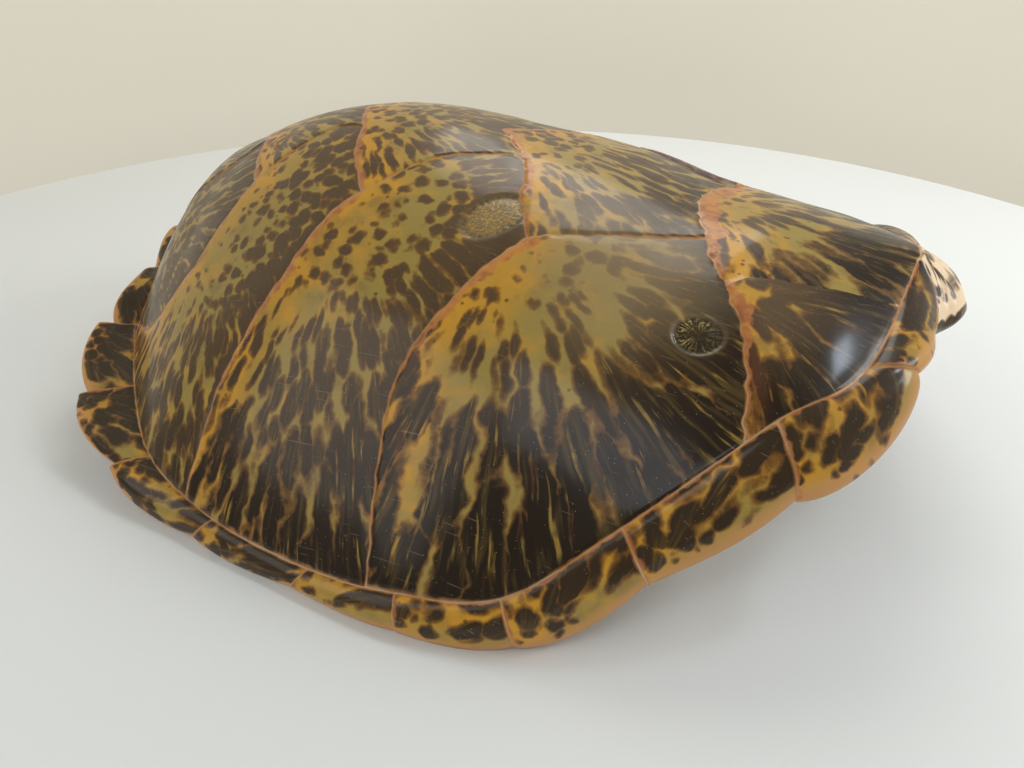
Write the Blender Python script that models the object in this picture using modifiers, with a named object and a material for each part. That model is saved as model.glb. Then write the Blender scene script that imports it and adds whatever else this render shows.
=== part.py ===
"""Sea turtle carapace: the whole upper shell in one piece, lying on the worn undersides of its side margins.

Units are metres in the scene; the shell's own measures below are millimetres. +X is the front (the neck),
+Y the turtle's left, +Z up. The origin is on the table, under the middle of the shell.
"""

import math

import bmesh
import bpy
import numpy as np
from mathutils import Vector
from mathutils.geometry import delaunay_2d_cdt

MM = 0.001

# ---------------------------------------------------------------- driving dimensions, millimetres
# Outer corner of each marginal scute on the rim, from the nuchal tip to the tail: (x, half width, height).
RIM_CORNERS = (
    (302, 0, 119),  # nuchal tip, over the neck
    (297, 26, 121),
    (283, 48, 117),  # nuchal | marginal 1
    (273, 98, 120),
    (229, 168, 75),
    (173, 209, 37),
    (118, 241, 2),
    (58, 255, 0),
    (-12, 251, 0),
    (-88, 244, 2),
    (-164, 229, 22),
    (-225, 193, 40),
    (-265, 135, 59),
    (-282, 72, 74),  # marginal 11 | marginal 12
    (-302, 0, 90),  # tail
)
# Inner corner of the same scutes, on the seam between the marginals and the dome.
SEAM_CORNERS = (
    (268, 0, 146),
    (268, 5, 146),
    (267, 11, 146),
    (246, 110, 122),
    (211, 154, 110),
    (155, 204, 66),
    (107, 236, 30),
    (53, 246, 21),
    (-1, 246, 15),
    (-72, 238, 18),
    (-139, 216, 27),
    (-196, 171, 39),
    (-244, 118, 51),
    (-263, 64, 76),
    (-272, 0, 80),
)
NUCHAL_CORNER = 2  # place in RIM_CORNERS of the corner between the nuchal and marginal 1
# Height of the ridge along the middle, tail to neck: (x, height).
RIDGE = (
    (-272, 80),
    (-240, 136),
    (-180, 174),
    (-115, 195),
    (-50, 199),
    (7, 191),
    (75, 179),
    (141, 161),
    (190, 157),
    (228, 151),
    (268, 146),
)
# How square the cross-section is, tail to neck: 1 is a tent, 2 a parabola, more is flatter on top.
SECTION_POWER = ((-272, 1.85), (-150, 1.85), (0, 2.2), (150, 2.4), (205, 1.85), (268, 1.5))

# Seams between the scutes of the dome, on one side: (x, distance from the middle).
SCUTE_SEAMS = {
    "vertebral_1_2": ((140, 0), (143, 23), (154, 53)),
    "vertebral_1_costal_2": ((154, 53), (161, 71), (172, 88)),
    "vertebral_1_costal_1": ((172, 88), (184, 76), (214, 68), (256, 59)),
    "costal_1_2": ((172, 88), (187, 115), (195, 144), (199, 166)),
    "vertebral_2_costal_2": ((154, 53), (126, 70), (101, 86), (66, 105)),
    "vertebral_2_costal_3": ((66, 105), (52, 82), (46, 62), (38, 41)),
    "vertebral_2_3": ((5, 0), (17, 15), (28, 29), (38, 41)),
    "costal_2_3": ((66, 105), (56, 119), (39, 146), (26, 170), (23, 190), (28, 216), (36, 246)),
    "vertebral_3_costal_3": ((38, 41), (26, 38), (-9, 59), (-35, 91), (-44, 98)),
    "vertebral_3_costal_4": ((-44, 98), (-53, 87), (-67, 67), (-77, 41)),
    "vertebral_3_4": ((-98, 0), (-90, 20), (-77, 41)),
    "costal_3_4": ((-44, 98), (-58, 114), (-71, 145), (-82, 166), (-93, 193), (-98, 233)),
    "vertebral_4_costal_4": ((-77, 41), (-96, 41), (-115, 59), (-138, 83)),
    "costal_4_5": ((-138, 83), (-150, 112), (-164, 133), (-196, 145), (-240, 122)),
    "vertebral_4_5": ((-186, 0), (-178, 18), (-166, 34)),
    "vertebral_4_costal_5": ((-166, 34), (-154, 60), (-138, 83)),
    "vertebral_5_costal_5": ((-166, 34), (-200, 52), (-240, 58), (-263, 64)),
}
SEAM_DEPTH = 1.2
SEAM_HALF_WIDTH = 4.5

# How far the rim steps in behind a marginal scute's last corner, by that corner's place in RIM_CORNERS.
RIM_STEPS = {10: 4, 11: 6, 12: 11, 13: 9}
SMALL_RIM_STEP = 0.8
TAIL_NOTCH = 6
# How far the rim of a marginal scute bows out between its corners, by the place of its first corner.
RIM_BOWS = {3: 14, 5: 5, 8: 4, 9: 8, 10: 5, 11: 3, 12: 4, 13: 4}
SMALL_RIM_BOW = 1.5

# How far the marginal band swells out between the seam and the rim: (place in RIM_CORNERS, swell).
BAND_SWELL = ((0, 3), (2, 3), (4, 5), (7, 4), (9, 3), (11, -1), (14, -2))
RIM_ROLL = 3.0  # how far the band's outer edge turns down
BONE_THICKNESS = 8.0
SPINE_THICKNESS = 7.0  # the backbone fused under the middle
SPINE_HALF_WIDTH = 13.0
SPINE_HALF_LENGTH = 235.0
EDGE_ROUNDING = 2.6
WORN_DEPTH = 1.5  # rubbed off the lowest margins, where the shell lies on the table
CENTRING = 1.5  # forward shift that puts the origin under the middle of the shell

# Scars of two barnacles on the near side: (x, y, length, breadth, turn in degrees, depth of the ring).
BARNACLE_SCARS = ((166, -121, 34, 27, 20, 1.6), (42, -95, 46, 32, 50, 1.4))
SCAR_RING_AT = 0.8  # of the scar's radius
SCAR_RING_WIDTH = 0.3

# ---------------------------------------------------------------- mesh fineness
MESH_STEP = 17.0  # between points on the dome, millimetres
GRID_HALF_LENGTH = 280.0  # of the points laid over the dome's plan
GRID_HALF_WIDTH = 260.0
SPOKES_PER_SCUTE = 4
BAND_ROWS = 5
STEP_WIDTH = 0.07  # of a marginal scute's length, for the step in the rim

SHELL_COLOUR = (0.30, 0.17, 0.05, 1.0)
SHELL_ROUGHNESS = 0.22
COLLECTION = "sea turtle shell"


def through(knots, place):
    """Point on a smooth curve through knots that mirrors itself at both ends; place counts the knots."""
    last = len(knots) - 1
    mirror = np.array((1, -1, 1))
    ends = np.vstack((knots[1] * mirror, knots, knots[last - 1] * mirror))
    first = min(int(math.floor(place)), last - 1)
    f = place - first
    a, b, c, d = ends[first : first + 4]
    return between(a, b, c, d, f)


def between(a, b, c, d, f):
    """Point a share f of the way from b to c on the smooth curve through a, b, c and d."""
    return 0.5 * (2 * b + (c - a) * f + (2 * a - 5 * b + 4 * c - d) * f**2 + (3 * b - a - 3 * c + d) * f**3)


def smooth_steps(pairs, x):
    """Value at x of a table of (x, value) pairs, eased so that it has no corners at the pairs."""
    xs, values = np.array(pairs, float).T
    slopes = np.gradient(values, xs)
    i = int(np.clip(np.searchsorted(xs, x) - 1, 0, len(xs) - 2))
    width = xs[i + 1] - xs[i]
    f = min(max((x - xs[i]) / width, 0.0), 1.0)
    start, end = values[i], values[i + 1]
    return (
        start * (1 + 2 * f) * (1 - f) ** 2
        + end * (3 - 2 * f) * f**2
        + width * (slopes[i] * f * (1 - f) ** 2 - slopes[i + 1] * f**2 * (1 - f))
    )


RIM = np.array(RIM_CORNERS, float)
SEAM = np.array(SEAM_CORNERS, float)
LAST_CORNER = len(RIM_CORNERS) - 1
SEAM_LINE = np.array([through(SEAM, place) for place in np.linspace(NUCHAL_CORNER, LAST_CORNER, 400)])
SEAM_LINE = SEAM_LINE[np.argsort(SEAM_LINE[:, 0])]


def dome_height(x, y):
    """Height of the dome over a point of its plan."""
    half_width = max(float(np.interp(x, SEAM_LINE[:, 0], SEAM_LINE[:, 1])), 0.001)
    foot = float(np.interp(x, SEAM_LINE[:, 0], SEAM_LINE[:, 2]))
    across = min(abs(y) / half_width, 1.0)
    rise = smooth_steps(RIDGE, x) - foot
    return foot + rise * (1 - across ** smooth_steps(SECTION_POWER, x))


def scute_places():
    """Places along the margin from the nuchal tip to the tail, with a close pair at each step in the rim."""
    places = []
    for corner in range(LAST_CORNER):
        places.append(float(corner))
        if corner < NUCHAL_CORNER:
            places.append(corner + 0.5)
            continue
        places.append(corner + STEP_WIDTH)
        places.extend(corner + n / SPOKES_PER_SCUTE for n in range(1, SPOKES_PER_SCUTE))
    return places + [float(LAST_CORNER)]


def rim_setback(place):
    """How far the rim lies inside its corners' curve: scutes step and bow, and the tail has a notch."""
    scute = max(math.ceil(place), 1)
    along = place - scute + 1
    step = RIM_STEPS.get(scute - 1, SMALL_RIM_STEP) if scute > NUCHAL_CORNER else 0.0
    bow = RIM_BOWS.get(scute - 1, SMALL_RIM_BOW) if scute > NUCHAL_CORNER else 0.0
    notch = TAIL_NOTCH * max(0.0, 1 - (LAST_CORNER - place) / (3 * STEP_WIDTH))
    return step * (1 - along) ** 1.5 + notch - bow * 4 * along * (1 - along)


def band_point(place, side, across):
    """Point on the marginal band: across is 0 on the seam and 1 on the rim."""
    seam, rim = through(SEAM, place), through(RIM, place)
    seam[2] = dome_height(seam[0], seam[1])
    outward = (rim - seam) / np.linalg.norm(rim - seam)
    rim = rim - outward * rim_setback(place)
    along = through(RIM, min(place + 0.1, LAST_CORNER)) - through(RIM, max(place - 0.1, 0.0))
    up = np.cross(outward, along)
    up /= np.linalg.norm(up)
    if up[2] < 0 and abs(up[2]) > abs(up[1]):
        up = -up
    swell = smooth_steps(BAND_SWELL, place) * 4 * across * (1 - across)
    roll = RIM_ROLL * max(0.0, (across - 0.6) / 0.4) ** 2
    point = seam * (1 - across) + rim * across + up * (swell - roll)
    return point * (1, side, 1)


def seam_points(line, step):
    """Even points along a seam of the dome, smoothed between its knots."""
    knots = np.array(line, float)
    dense = []
    for i in range(len(knots) - 1):
        a, b = knots[max(i - 1, 0)], knots[i]
        c, d = knots[i + 1], knots[min(i + 2, len(knots) - 1)]
        for f in np.linspace(0, 1, 12, endpoint=False):
            dense.append(between(a, b, c, d, f))
    dense = np.array(dense + [knots[-1]])
    lengths = np.concatenate(([0], np.cumsum(np.linalg.norm(np.diff(dense, axis=0), axis=1))))
    count = max(int(round(lengths[-1] / step)), 2)
    at = np.linspace(0, lengths[-1], count + 1)
    return np.column_stack([np.interp(at, lengths, dense[:, i]) for i in (0, 1)])


class DomePlan:
    """Plan of the dome: its boundary, the seams between its scutes, and loose points between them."""

    def __init__(self, boundary):
        self.points = [Vector(p) for p in boundary]
        self.edges = []
        self.on_seam = set()
        self.boundary_count = len(boundary)

    def add(self, point, merge=2.0):
        """Index of the plan point at point, new unless one is within merge."""
        gaps = [(known - Vector(point)).length for known in self.points]
        nearest = int(np.argmin(gaps))
        if gaps[nearest] < merge:
            return nearest
        self.points.append(Vector(point))
        return len(self.points) - 1

    def add_seam(self, line):
        """A chain of points and edges; an end near the boundary joins it."""
        chain = [self.add(p, MESH_STEP if self.near_boundary(p) else 2.0) for p in line]
        self.on_seam.update(chain)
        self.edges.extend((a, b) for a, b in zip(chain, chain[1:]) if a != b)

    def near_boundary(self, point):
        """Whether a point is so close to the boundary that it joins it."""
        margin = self.points[: self.boundary_count]
        return any((known - Vector(point)).length < MESH_STEP * 0.6 for known in margin)

    def add_loose(self, point, room):
        """A loose point, left out where it would crowd the seams or the boundary."""
        if all((known - Vector(point)).length > room for known in self.points):
            self.points.append(Vector(point))


def dome_plan(boundary):
    """The dome's plan: its points, its triangles, the given points each point came from, those on seams."""
    plan = DomePlan(boundary)
    lines = [seam_points(line, MESH_STEP) for line in SCUTE_SEAMS.values()]
    for side in (1, -1):
        for line in lines:
            plan.add_seam(line * (1, side))
    chains = list(plan.edges)
    for a, b in chains:
        start, end = plan.points[a], plan.points[b]
        across = Vector((start.y - end.y, end.x - start.x)).normalized() * SEAM_HALF_WIDTH
        for shift in (across, -across):
            plan.add_loose((start + end) / 2 + shift, SEAM_HALF_WIDTH * 0.95)
    for x in np.arange(SEAM[LAST_CORNER][0] + MESH_STEP, SEAM[0][0], MESH_STEP):
        for y in (0.0, SPINE_HALF_WIDTH, -SPINE_HALF_WIDTH):
            plan.add_loose((x, y), MESH_STEP * 0.45)
    for x, y, length, breadth, turn, _ in BARNACLE_SCARS:
        add_scar_points(plan, x, y, length / 2, breadth / 2, math.radians(turn))
    row_step = MESH_STEP * math.sqrt(3) / 2
    for row, y in enumerate(np.arange(-GRID_HALF_WIDTH, GRID_HALF_WIDTH, row_step)):
        for x in np.arange((row % 2) * MESH_STEP / 2 - GRID_HALF_LENGTH, GRID_HALF_LENGTH, MESH_STEP):
            if inside_plan(x, y):
                plan.add_loose((x, y), MESH_STEP * 0.62)
    ring = list(range(plan.boundary_count))
    inside_only = 1
    points, _, triangles, source, _, _ = delaunay_2d_cdt(plan.points, plan.edges, [ring], inside_only, 1e-6)
    return points, triangles, source, plan.on_seam


def add_scar_points(plan, x, y, half_length, half_breadth, turn):
    """A ring of points and a centre for a scar."""
    plan.add_loose((x, y), 6.0)
    for reach, count in ((1.0, 8), (0.55, 5)):
        for n in range(count):
            angle = 2 * math.pi * n / count
            u, v = half_length * reach * math.cos(angle), half_breadth * reach * math.sin(angle)
            c, s = math.cos(turn), math.sin(turn)
            plan.add_loose((x + u * c - v * s, y + u * s + v * c), 5.0)


def inside_plan(x, y):
    """Whether a plan point lies on the dome: within the side seams and behind the nuchal's seam."""
    if not SEAM_LINE[0][0] < x < SEAM[NUCHAL_CORNER][0]:
        return False
    if abs(y) > float(np.interp(x, SEAM_LINE[:, 0], SEAM_LINE[:, 1])):
        return False
    front = SEAM[: NUCHAL_CORNER + 1]
    return x < np.interp(abs(y), front[:, 1], front[:, 0]) or abs(y) > SEAM[NUCHAL_CORNER][1]


def scar_depth(x, y):
    """How far a barnacle's scar sinks the surface: a ring round a low centre."""
    depth = 0.0
    for centre_x, centre_y, length, breadth, turn, ring in BARNACLE_SCARS:
        c, s = math.cos(math.radians(turn)), math.sin(math.radians(turn))
        dx, dy = x - centre_x, y - centre_y
        away = math.hypot((dx * c + dy * s) * 2 / length, (dy * c - dx * s) * 2 / breadth)
        depth += ring * math.exp(-(((away - SCAR_RING_AT) / SCAR_RING_WIDTH) ** 2))
    return depth


def outer_surface():
    """The shell's outer skin as an open mesh: the dome, and the marginal band around it."""
    half = scute_places()
    margin = [(place, 1) for place in half] + [(place, -1) for place in reversed(half[1:-1])]
    boundary = [band_point(place, side, 0.0)[:2] for place, side in margin]
    points, triangles, source, on_seam = dome_plan(boundary)
    skin = bmesh.new()
    verts = []
    for i, p in enumerate(points):
        sunk = SEAM_DEPTH if source[i] and source[i][0] in on_seam else 0.0
        verts.append(skin.verts.new((p.x, p.y, dome_height(p.x, p.y) - sunk - scar_depth(p.x, p.y))))
    for triangle in triangles:
        skin.faces.new([verts[i] for i in triangle])
    at = {source[i][0]: verts[i] for i in range(len(points)) if source[i]}
    row = [at[i] for i in range(len(margin))]
    for place, vert in zip(margin, row):
        vert.co.z -= SEAM_DEPTH
    for step in range(1, BAND_ROWS + 1):
        across = step / BAND_ROWS
        nearer, row = row, [skin.verts.new(band_point(place, side, across)) for place, side in margin]
        for i in range(len(row)):
            j = (i + 1) % len(row)
            skin.faces.new((nearer[i], row[i], row[j], nearer[j]))
    bmesh.ops.recalc_face_normals(skin, faces=skin.faces)
    if sum(face.normal.z for face in skin.faces) < 0:
        bmesh.ops.reverse_faces(skin, faces=skin.faces)
    loose = [v for v in skin.verts if not v.link_faces]
    bmesh.ops.delete(skin, geom=loose, context="VERTS")
    return skin


def thickness_at(x, y):
    """Bone thickness, with the backbone fused under the middle and fading towards neck and tail."""
    spine = SPINE_THICKNESS * math.exp(-((y / SPINE_HALF_WIDTH) ** 2) * 1.6)
    ends = max(0.0, 1 - (abs(x) / SPINE_HALF_LENGTH) ** 6)
    return BONE_THICKNESS + spine * ends


def shell_material():
    """Polished tortoiseshell, its mean colour."""
    material = bpy.data.materials.new("tortoiseshell")
    material.use_nodes = True
    shader = material.node_tree.nodes["Principled BSDF"]
    shader.inputs["Base Color"].default_value = SHELL_COLOUR
    shader.inputs["Roughness"].default_value = SHELL_ROUGHNESS
    shader.inputs["Metallic"].default_value = 0.0
    material.diffuse_color = SHELL_COLOUR
    return material


def build_carapace(parts, cutters):
    """The carapace: its skin given the bone's thickness, rounded at the rim, worn flat where it rests."""
    skin = outer_surface()
    thickest = BONE_THICKNESS + SPINE_THICKNESS
    shares = [thickness_at(v.co.x, v.co.y) / thickest for v in skin.verts]
    bmesh.ops.translate(skin, verts=skin.verts, vec=(CENTRING, 0, -WORN_DEPTH))
    bmesh.ops.scale(skin, verts=skin.verts, vec=(MM, MM, MM))
    mesh = bpy.data.meshes.new("carapace")
    skin.to_mesh(mesh)
    skin.free()
    carapace = bpy.data.objects.new("carapace", mesh)
    parts.objects.link(carapace)
    mesh.materials.append(shell_material())
    group = carapace.vertex_groups.new(name="bone")
    for i, share in enumerate(shares):
        group.add([i], share, "REPLACE")

    bone = carapace.modifiers.new("bone", "SOLIDIFY")
    bone.thickness = thickest * MM
    bone.offset = -1.0
    bone.vertex_group = group.name
    edge = carapace.modifiers.new("rounded rim", "BEVEL")
    edge.width = EDGE_ROUNDING * MM
    edge.segments = 2
    edge.limit_method = "ANGLE"
    edge.angle_limit = math.radians(58)

    bpy.ops.mesh.primitive_cube_add(size=1.0, location=(0, 0, -0.05))
    table = bpy.context.object
    table.name = "table_level"
    table.scale = (0.8, 0.8, 0.1)
    table.hide_render = True
    table.display_type = "WIRE"
    for owner in list(table.users_collection):
        owner.objects.unlink(table)
    cutters.objects.link(table)
    worn = carapace.modifiers.new("worn flats", "BOOLEAN")
    worn.operation = "DIFFERENCE"
    worn.object = table
    return carapace


def main():
    """Empty the scene and build the shell in it."""
    for thing in list(bpy.data.objects):
        bpy.data.objects.remove(thing)
    parts = bpy.data.collections.new(COLLECTION)
    cutters = bpy.data.collections.new("cutters")
    for group in (parts, cutters):
        bpy.context.scene.collection.children.link(group)
    build_carapace(parts, cutters)


main()
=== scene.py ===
"""Polished sea turtle shell: horn scutes over a bone vault, on a pale table in soft light.

The form is worked out in millimetres and laid into the frame in metres: +X is the neck, +Y the turtle's left.
"""

import logging
import math
from dataclasses import dataclass
from enum import Enum

import bpy
import numpy as np
from mathutils import Euler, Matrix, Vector, kdtree
from mathutils.geometry import delaunay_2d_cdt


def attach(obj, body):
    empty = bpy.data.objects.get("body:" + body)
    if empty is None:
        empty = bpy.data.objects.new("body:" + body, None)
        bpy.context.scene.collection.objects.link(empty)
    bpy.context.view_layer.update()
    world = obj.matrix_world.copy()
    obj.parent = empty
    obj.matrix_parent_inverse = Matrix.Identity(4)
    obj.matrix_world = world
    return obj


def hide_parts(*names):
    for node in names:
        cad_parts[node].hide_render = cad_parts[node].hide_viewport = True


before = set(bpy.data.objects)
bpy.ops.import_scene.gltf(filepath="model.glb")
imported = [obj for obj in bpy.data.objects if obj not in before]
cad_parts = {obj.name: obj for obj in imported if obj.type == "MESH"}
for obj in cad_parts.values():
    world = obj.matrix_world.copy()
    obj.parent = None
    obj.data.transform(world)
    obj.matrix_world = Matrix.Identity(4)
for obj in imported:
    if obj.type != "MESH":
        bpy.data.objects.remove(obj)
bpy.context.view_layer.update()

LOG = logging.getLogger("turtle_shell")
MM = 0.001
CENTRING = np.array((1.5, 0.0, -1.5))  # millimetres, from the shell's own measures to the frame
SIDES = {"+": 1, "-": -1}  # the mark of a seam's side and its sign, the left side first
FLIP = (1, -1, 1)  # mirrors points across the shell's middle plane
OTHER_SIDE = slice(-2, 0, -1)  # of one side's columns, those that come back on the other side


class Scute(Enum):
    """The dome's horn plates, numbered from the neck. Costals lie on both sides."""

    VERTEBRAL_1 = 1
    VERTEBRAL_2 = 2
    VERTEBRAL_3 = 3
    VERTEBRAL_4 = 4
    VERTEBRAL_5 = 5
    COSTAL_1 = 6
    COSTAL_2 = 7
    COSTAL_3 = 8
    COSTAL_4 = 9
    COSTAL_5 = 10


FIRST_MARGINAL, NUCHAL = 20, 40  # the numbers of the scutes round the rim, and of the one over the neck


@dataclass(frozen=True)
class ScuteLay:
    """Where a dome scute lies and how its horn is marked.

    inside is a plan point in it and growth the corner it grew from, both as (x, distance from the middle);
    heart and verge are the dark share at the growth corner and at the far edge. late_edge names the seams
    where the horn is thin and amber, and early_edge the seams where it is dark. spread is how far from the
    growth corner, in millimetres, its blotches have drawn out into streaks, band how wide the bare orange
    horn along its late edge is, and grain how small its blotches are.
    """

    inside: tuple[float, float]
    growth: tuple[float, float]
    heart: float
    verge: float
    late_edge: tuple[str, ...] = ()
    early_edge: tuple[str, ...] = ()
    spread: float = 140.0
    band: float = 3.0
    grain: float = 1.0


SCUTES: dict[Scute, ScuteLay] = {
    Scute.VERTEBRAL_1: ScuteLay((205, 0), (136, 0), 0.30, 0.62, ("v1_v2", "v1_c2"), (), 120.0, 11.0),
    Scute.VERTEBRAL_2: ScuteLay((80, 0), (2, 0), 0.32, 0.50, ("v2_v3", "v2_c3"), ("v1_v2",), 200.0, 5.0, 1.1),
    Scute.VERTEBRAL_3: ScuteLay((-40, 0), (-100, 0), 0.34, 0.46, ("v3_v4", "v3_c4"), ("v2_v3",), 220.0, 4.0, 1.2),
    Scute.VERTEBRAL_4: ScuteLay((-140, 0), (-188, 0), 0.36, 0.46, ("v4_v5", "v4_c5"), ("v3_v4",), 200.0, 3.0, 1.3),
    Scute.VERTEBRAL_5: ScuteLay((-230, 0), (-268, 0), 0.38, 0.46, (), ("v4_v5",), 200.0, 3.0, 1.3),
    Scute.COSTAL_1: ScuteLay((212, 100), (176, 86), 0.84, 0.96, ("c1_c2",), (), 76.0, 7.0, 0.9),
    Scute.COSTAL_2: ScuteLay((110, 160), (64, 104), 0.28, 0.84, ("c2_c3",), ("c1_c2", "v1_c2"), 150.0, 6.0),
    Scute.COSTAL_3: ScuteLay((-20, 160), (-44, 97), 0.26, 0.62, ("c3_c4",), ("c2_c3", "v2_c3"), 225.0, 5.0, 1.12),
    Scute.COSTAL_4: ScuteLay((-120, 130), (-138, 82), 0.24, 0.58, ("c4_c5",), ("c3_c4", "v3_c4"), 290.0, 3.0, 1.25),
    Scute.COSTAL_5: ScuteLay((-195, 95), (-255, 62), 0.35, 0.56, (), ("c4_c5", "v4_c5"), 270.0, 3.0, 1.3),
}

# Seams of one side in plan as (x, distance from the middle), and the scute whose edge laps over the other's.
SEAMS: dict[str, tuple[Scute, tuple[tuple[float, float], ...]]] = {
    "v1_v2": (Scute.VERTEBRAL_1, ((140, 0), (143, 23), (154, 53))),
    "v1_c2": (Scute.VERTEBRAL_1, ((154, 53), (161, 71), (172, 88))),
    "v1_c1": (Scute.VERTEBRAL_1, ((172, 88), (184, 76), (214, 68), (256, 59), (270, 56))),
    "c1_c2": (Scute.COSTAL_1, ((172, 88), (187, 115), (195, 144), (199, 166))),
    "v2_c2": (Scute.VERTEBRAL_2, ((154, 53), (126, 70), (101, 86), (66, 105))),
    "v2_c3": (Scute.VERTEBRAL_2, ((66, 105), (52, 82), (46, 62), (38, 41))),
    "v2_v3": (Scute.VERTEBRAL_2, ((5, 0), (17, 15), (28, 29), (38, 41))),
    "c2_c3": (Scute.COSTAL_2, ((66, 105), (56, 119), (39, 146), (26, 170), (23, 190), (28, 216), (36, 246))),
    "v3_c3": (Scute.VERTEBRAL_3, ((38, 41), (26, 38), (-9, 59), (-35, 91), (-44, 98))),
    "v3_c4": (Scute.VERTEBRAL_3, ((-44, 98), (-53, 87), (-67, 67), (-77, 41))),
    "v3_v4": (Scute.VERTEBRAL_3, ((-98, 0), (-90, 20), (-77, 41))),
    "c3_c4": (Scute.COSTAL_3, ((-44, 98), (-58, 114), (-71, 145), (-82, 166), (-93, 193), (-98, 233))),
    "v4_c4": (Scute.VERTEBRAL_4, ((-77, 41), (-96, 41), (-115, 59), (-138, 83))),
    "c4_c5": (Scute.COSTAL_4, ((-138, 83), (-150, 112), (-164, 133), (-196, 145), (-240, 122))),
    "v4_v5": (Scute.VERTEBRAL_4, ((-186, 0), (-178, 18), (-166, 34))),
    "v4_c5": (Scute.VERTEBRAL_4, ((-166, 34), (-154, 60), (-138, 83))),
    "v5_c5": (Scute.VERTEBRAL_5, ((-166, 34), (-200, 52), (-240, 58), (-263, 64))),
}
FAINT_SEAM, FAINT_RELIEF = "v1_c1", 0.06  # rubbed almost away by the polishing: this share of its relief is left
LIFTED_SEAM, LIFT = "v2_c2+", 3.2  # on the left side, where the lower scute's edge has dried and lifted
LOBED_SEAMS = ("v1_v2", "v1_c2", "c1_c2", "v2_v3", "v2_c3")
# Dark share of the nuchal, entered twice, and of the marginals from the neck to the tail.
MARGINAL_DARK = (0.20, 0.20, 0.58, 0.58, 0.56, 0.52, 0.52, 0.44, 0.52, 0.58, 0.64, 0.66, 0.66, 0.66)
BLEACHED_TURN = 8 * math.pi  # added to a bleached scar's angles, which tells the finish of it
OFF_SCAR = 9.0  # radius, as a share of a scar's, where there is none


@dataclass(frozen=True)
class Scar:
    """The mark of a barnacle: sunken, with rays. Centre in plan, sizes in millimetres, turn in degrees."""

    centre: tuple[float, float]
    length: float
    breadth: float
    turn: float
    bleached: bool

    def axis(self) -> tuple[float, float]:
        """Cosine and sine of its turn."""
        return math.cos(math.radians(self.turn)), math.sin(math.radians(self.turn))

    def ring(self, reach: float, angle: np.ndarray) -> np.ndarray:
        """Plan points at a share of its radius."""
        c, s = self.axis()
        u, v = self.length / 2 * reach * np.cos(angle), self.breadth / 2 * reach * np.sin(angle)
        return np.column_stack((self.centre[0] + u * c - v * s, self.centre[1] + u * s + v * c))

    def polar(self, place: np.ndarray) -> tuple[np.ndarray, np.ndarray]:
        """Radius of places, as a share of its own, and their angle round it."""
        c, s = self.axis()
        dx, dy = place[:, 0] - self.centre[0], place[:, 1] - self.centre[1]
        u, v = (dx * c + dy * s) * 2 / self.length, (dy * c - dx * s) * 2 / self.breadth
        return np.hypot(u, v), np.arctan2(v, u)


SCARS = (Scar((166, -121), 27, 21, 20, False), Scar((42, -95), 41, 28, 50, True))


def between(a: np.ndarray, b: np.ndarray, c: np.ndarray, d: np.ndarray, f: np.ndarray) -> np.ndarray:
    """Go a share of the way along a smooth curve.

    Args:
        a, b, c, d: Neighbouring knots; the curve runs from b to c.
        f: Share of the way.

    Returns:
        The points there.
    """
    return 0.5 * (2 * b + (c - a) * f + (2 * a - 5 * b + 4 * c - d) * f**2 + (3 * b - a - 3 * c + d) * f**3)


def eased(pairs: tuple[tuple[float, float], ...], x: np.ndarray) -> np.ndarray:
    """Read a table of (x, value) pairs without corners at the pairs.

    Args:
        pairs: The table, with x rising.
        x: Where to read it.

    Returns:
        The values there.
    """
    xs, values = np.array(pairs, float).T
    slopes = np.gradient(values, xs)
    i = np.clip(np.searchsorted(xs, x) - 1, 0, len(xs) - 2)
    width = xs[i + 1] - xs[i]
    f = np.clip((x - xs[i]) / width, 0.0, 1.0)
    ends = values[i] * (1 + 2 * f) * (1 - f) ** 2 + values[i + 1] * (3 - 2 * f) * f**2
    return ends + width * (slopes[i] * f * (1 - f) ** 2 - slopes[i + 1] * f**2 * (1 - f))


def ramp(value: np.ndarray, start: float | np.ndarray, end: float | np.ndarray) -> np.ndarray:
    """Smooth step of value from 0 at start to 1 at end."""
    share = np.clip((value - start) / (end - start), 0.0, 1.0)
    return share * share * (3 - 2 * share)


def hump(value: np.ndarray, width: float) -> np.ndarray:
    """Bell of value: 1 at 0, and fallen off past width."""
    return np.exp(-((value / width) ** 2))


def unit(vectors: np.ndarray) -> np.ndarray:
    """Rows of vectors, each at length 1."""
    return vectors / np.linalg.norm(vectors, axis=1)[:, None]


def flat(points: np.ndarray) -> np.ndarray:
    """Points laid on the plan, for measuring between them."""
    return np.column_stack((points[:, :2], np.zeros(len(points))))


def tree_of(points: np.ndarray) -> kdtree.KDTree:
    """A tree that finds the nearest of points."""
    tree = kdtree.KDTree(len(points))
    for i, p in enumerate(points):
        tree.insert(tuple(p), i)
    tree.balance()
    return tree


def distance_to(points: np.ndarray, places: np.ndarray) -> np.ndarray:
    """Distance from each place to the nearest of points."""
    tree = tree_of(points)
    return np.array([tree.find(tuple(p))[2] for p in places])


def closer(ring: np.ndarray, times: int) -> np.ndarray:
    """A ring's line with times as many points, closed."""
    looped = np.vstack((ring, ring[:1]))
    at = np.linspace(0, len(ring), times * len(ring) + 1)
    return np.column_stack([np.interp(at, np.arange(len(looped)), looped[:, i]) for i in (0, 1)])


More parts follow.
